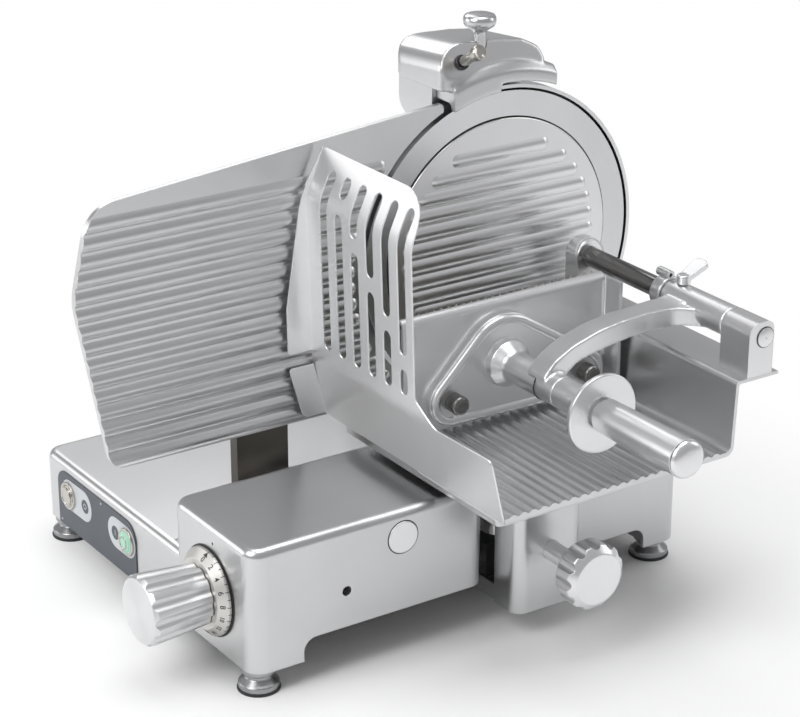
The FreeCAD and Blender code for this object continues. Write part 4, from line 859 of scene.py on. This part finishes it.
def guard_openings():
    """Long slots; all but the first are parted by a bridge at the height in BRIDGES."""
    openings = []
    for i, bridge in enumerate(BRIDGES):
        y = SLOT_FIRST - SLOT_PITCH * i
        pieces = [(SLOT_LOW, SLOT_HIGH)]
        if bridge is not None:
            pieces = [(SLOT_LOW, bridge - BRIDGE_HALF), (bridge + BRIDGE_HALF, SLOT_HIGH)]
        for low, high in pieces:
            openings.append(pill((y, low + SLOT_HALF), (y, high - SLOT_HALF), SLOT_HALF, 10))
    return openings


def flat_guard():
    """Outline of the guard with its slots, as flat faces with (y, z) in place of (x, y)."""
    side = [(GUARD_FRONT, -122.5), (GUARD_REAR, -122.5), (GUARD_REAR, 134, 8), (-171.8, 134, 34),
            (-171.8, -46, 8), (-201, -63.5, 14), (GUARD_FRONT, -62, 5)]
    curve = bpy.data.curves.new("guard", "CURVE")
    curve.dimensions = "2D"
    curve.fill_mode = "BOTH"
    for loop in [rounded(side)] + guard_openings():
        line = curve.splines.new("POLY")
        line.points.add(len(loop) - 1)
        for point, (y, z) in zip(line.points, loop):
            point.co = (y, z, 0, 1)
        line.use_cyclic_u = True
    flat = mesh_from(curve)
    bm = bmesh.new()
    bm.from_mesh(flat)
    bpy.data.meshes.remove(flat)
    return bm


def hand_guard():
    """Thin bent sheet with long slots, and the stiffening flange at its rear."""
    bm = flat_guard()
    line = guard_line()
    for z, _ in line[1:-1]:
        bmesh.ops.bisect_plane(bm, geom=bm.verts[:] + bm.edges[:] + bm.faces[:], plane_co=(0, z, 0),
                               plane_no=(0, 1, 0))
    for vert in bm.verts:
        y, z = vert.co.x, vert.co.y
        vert.co = (bent_x(line, z), y, z)
    bmesh.ops.recalc_face_normals(bm, faces=bm.faces)
    if sum(face.normal.x * face.calc_area() for face in bm.faces) > 0:
        bmesh.ops.reverse_faces(bm, faces=bm.faces)
    sheet = placed("scratch", stored(bm, "scratch"))
    thick = sheet.modifiers.new("thick", "SOLIDIFY")
    thick.thickness = GUARD_SHEET
    thick.offset = -1.0
    applied(sheet)
    bm = taken(sheet)
    upper = [(-197.2, 133), (-214, 104, 30), (-222, 84, 60), (-237.2, -12, 14), (-236.5, -56, 3),
             (-211.2, -56), (-214.8, 88)]
    lower = [(-210, -70), (-236, -70, 3), (-221.5, -121, 8), (-196.5, -121)]
    for corners in (upper, lower):
        slab_xz(bm, corners, GUARD_REAR - GUARD_SHEET, GUARD_REAR)
    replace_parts(mesh_piece("hand_guard_sheet", bm, SATIN_Z, "carriage", 34.0), "hand_guard")


# Press arm and grip

def pressing_arm():
    """Slender curved beam from the hub on the rod to the collar of the handle."""
    beam = [(83, -8), (60, -12.5, 60), (34, -12.8, 120), (4, -14, 120), (-25, -17.5, 90), (-55, -26, 70),
            (-76, -37, 20), (-88, -50, 8), (-86, -62), (-66, -62), (-62, -50, 6), (-49.5, -41.5, 30),
            (-23, -36, 90), (4, -32.5, 120), (31, -30.5, 120), (59, -31, 80), (83, -29)]
    arm = solid(lambda bm: slab_xz(bm, beam, -190, -165))
    plan = [(26, -190), (56, -193, 30), (83, -218), (83, -157), (56, -164, 30), (26, -165)]
    joined(arm, solid(lambda bm: slab_xy(bm, plan, -30, -13)), "UNION")
    joined(arm, solid(lambda bm: closed_bar(bm, 14.5, (ROD[0], -241, ROD[1]), TO_REAR, 85.5)), "UNION")
    joined(arm, solid(lambda bm: closed_bar(bm, 14.6, (HANDLE[0], -203, HANDLE[1]), TO_REAR, 25)), "UNION")
    softened(arm, 1.2, 6)
    joined(arm, solid(lambda bm: closed_bar(bm, 11.6, (ROD[0], -245, ROD[1]), TO_REAR, 100)), "DIFFERENCE")
    joined(arm, solid(lambda bm: closed_bar(bm, 3.6, (ROD[0] + 1, -170, -5.5), UP, 9)), "DIFFERENCE")
    finished(arm, "press_arm_casting", POLISHED, "pusher_arm", "press_arm", 50.0)


def boss_lip():
    """Raised bead round the face of the pusher boss."""
    circles = [(-132.0, -87.0, 18.5), (15.5, -91.5, 17.5), (HANDLE[0], HANDLE[1], 40.5)]
    loop = hull_loop(circles)
    bead, sides = 4.4, 14
    bm = bmesh.new()
    rings = []
    for i, (x, z) in enumerate(loop):
        ahead = Vector(loop[(i + 1) % len(loop)]) - Vector(loop[i - 1])
        out = Vector((ahead.y, 0, -ahead.x)).normalized()
        ring = []
        for k in range(sides):
            turn = 2 * math.pi * k / sides
            ring.append(bm.verts.new(Vector((x, -115.0, z)) + out * (bead * math.cos(turn))
                                     + Vector((0, -bead * 0.8 * math.sin(turn), 0))))
        rings.append(ring)
    for i, ring in enumerate(rings):
        other = rings[(i + 1) % len(rings)]
        for k in range(sides):
            j = (k + 1) % sides
            bm.faces.new((ring[k], ring[j], other[j], other[k]))
    mesh_piece("boss_lip", bm, POLISHED, "pusher_arm", 60.0)


def grip():
    """Tapered grip with a flat end that is rounded at its rim."""
    bm = bmesh.new()
    profile = [(0, 0), (14.5, 0), (15.5, 1.2), (17.0, 105.6), (16.2, 106.0), (16.2, 106.8), (17.0, 107.2),
               (16.6, 108.9), (15.4, 110.7), (13.0, 112.2), (9.4, 113.2), (5.0, 113.8), (0, 114)]
    lathe(bm, profile, (HANDLE[0], -261, HANDLE[1]), TO_FRONT, 72)
    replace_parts(mesh_piece("handle_grip_turned", bm, TURNED_Y, "pusher_arm"), "handle_grip")


sharpener()
grinding_knob()
deburring_bush()
hand_guard()
pressing_arm()
boss_lip()
grip()


# ---- floor, light and camera, in metres in the row frame ---------------------------

FLOOR_HALF = 6.0
FADE = (0.22, 0.58)       # the floor's own tone ends, the white is full

# Tone of the studio by height: 0 straight down, 0.5 the horizon, 1 straight up
STUDIO = ((0.0, 0.80), (0.46, 0.70), (0.50, 0.34), (0.60, 0.40), (0.72, 0.46), (0.88, 0.40), (1.0, 0.60))

# Name, place, aim, size and watts of each soft lamp
LAMPS = (
    ("top_softbox", (0.2, 0.0, 2.2), (0, 0, 0.1), (1.4, 1.4), 18.0),
    ("key_softbox", (-1.5, -0.2, 1.5), (0, 0, 0.2), (1.0, 1.3), 17.0),
    ("back_softbox", (0.35, 1.9, 1.65), (0, 0, 0.2), (1.5, 0.7), 8.0),
    ("right_softbox", (1.7, -0.7, 1.0), (0, 0, 0.2), (0.7, 1.2), 4.0),
    ("left_softbox", (-1.7, 1.6, 0.65), (0, 0, 0.2), (1.3, 0.9), 7.0),
)

# Camera: place in mm from the blade, degrees down and to the right of straight ahead, lens in mm
EYE = (-1283.64, -1755.93, 780.53)
EYE_DOWN = 22.40
EYE_RIGHT = 33.72
EYE_LENS = 110.16

def floor():
    """Pale floor that keeps the shadow and fades to the white world away from the slicer."""
    mesh = bpy.data.meshes.new("studio_floor")
    z = at(0, 0, FLOOR_Z).z
    corners = [(-FLOOR_HALF, -FLOOR_HALF, z), (FLOOR_HALF, -FLOOR_HALF, z), (FLOOR_HALF, FLOOR_HALF, z),
               (-FLOOR_HALF, FLOOR_HALF, z)]
    mesh.from_pydata(corners, [], [(0, 1, 2, 3)])
    piece = placed("studio_floor", mesh)
    material, tree, shader = new_material("studio_floor")
    shader.inputs["Base Color"].default_value = (0.9, 0.9, 0.9, 1)
    shader.inputs["Roughness"].default_value = 0.85
    shader.inputs["Specular IOR Level"].default_value = 0.1
    mesh.materials.append(material)
    coords = add_node(tree, "ShaderNodeTexCoord")
    long = add_node(tree, "ShaderNodeVectorMath", operation="LENGTH")
    tree.links.new(coords.outputs["Object"], long.inputs[0])
    fade = span(tree, long.outputs["Value"], *FADE, 0.0, 1.0)
    path = add_node(tree, "ShaderNodeLightPath")
    seen = add_node(tree, "ShaderNodeMath", operation="MULTIPLY")
    tree.links.new(fade, seen.inputs[0])
    tree.links.new(path.outputs["Is Camera Ray"], seen.inputs[1])
    white = add_node(tree, "ShaderNodeEmission")
    white.inputs["Strength"].default_value = 1.0
    blend = add_node(tree, "ShaderNodeMixShader")
    tree.links.new(seen.outputs["Value"], blend.inputs["Fac"])
    tree.links.new(shader.outputs["BSDF"], blend.inputs[1])
    tree.links.new(white.outputs["Emission"], blend.inputs[2])
    tree.links.new(blend.outputs["Shader"], tree.nodes["Material Output"].inputs["Surface"])


def world():
    """White to the camera and to nothing else; metal mirrors the studio ramp."""
    scene_world = bpy.data.worlds.new("studio")
    bpy.context.scene.world = scene_world
    scene_world.use_nodes = True
    tree = scene_world.node_tree
    background = tree.nodes["Background"]
    coords = add_node(tree, "ShaderNodeTexCoord")
    parts = add_node(tree, "ShaderNodeSeparateXYZ")
    tree.links.new(coords.outputs["Generated"], parts.inputs["Vector"])
    ramp = add_node(tree, "ShaderNodeValToRGB")
    stops = ramp.color_ramp.elements
    stops[0].position, stops[1].position = STUDIO[0][0], STUDIO[-1][0]
    for place, _ in STUDIO[1:-1]:
        stops.new(place)
    for stop, (_, tone) in zip(stops, STUDIO):
        stop.color = (tone, tone, tone * 1.02, 1)
    tree.links.new(span(tree, parts.outputs["Z"], -1.0, 1.0, 0.0, 1.0), ramp.inputs["Fac"])
    path = add_node(tree, "ShaderNodeLightPath")
    blend = add_node(tree, "ShaderNodeMix", data_type="RGBA")
    blend.inputs["B"].default_value = (1, 1, 1, 1)
    tree.links.new(path.outputs["Is Camera Ray"], blend.inputs["Factor"])
    tree.links.new(ramp.outputs["Color"], blend.inputs["A"])
    tree.links.new(blend.outputs["Result"], background.inputs["Color"])


def lamp(name, place, aim, size, power):
    """Soft lamp that looks from its place at its aim, in metres."""
    light = bpy.data.lights.new(name, "AREA")
    light.shape = "RECTANGLE"
    light.size, light.size_y = size
    light.energy = power
    piece = placed(name, light)
    piece.location = place
    piece.rotation_euler = (Vector(aim) - Vector(place)).to_track_quat("-Z", "Y").to_euler()


def camera():
    """Camera at the viewing angle of the photograph."""
    eye = bpy.data.cameras.new("photo_camera")
    eye.sensor_fit = "HORIZONTAL"
    eye.sensor_width = 36.0
    eye.lens = EYE_LENS
    eye.clip_start = 0.05
    piece = placed("photo_camera", eye)
    piece.location = at(*EYE)
    piece.rotation_euler = (math.radians(90 - EYE_DOWN), 0.0, math.radians(-EYE_RIGHT))
    bpy.context.scene.camera = piece


floor()
world()
for entry in LAMPS:
    lamp(*entry)
camera()
bpy.context.scene.view_settings.view_transform = "Standard"
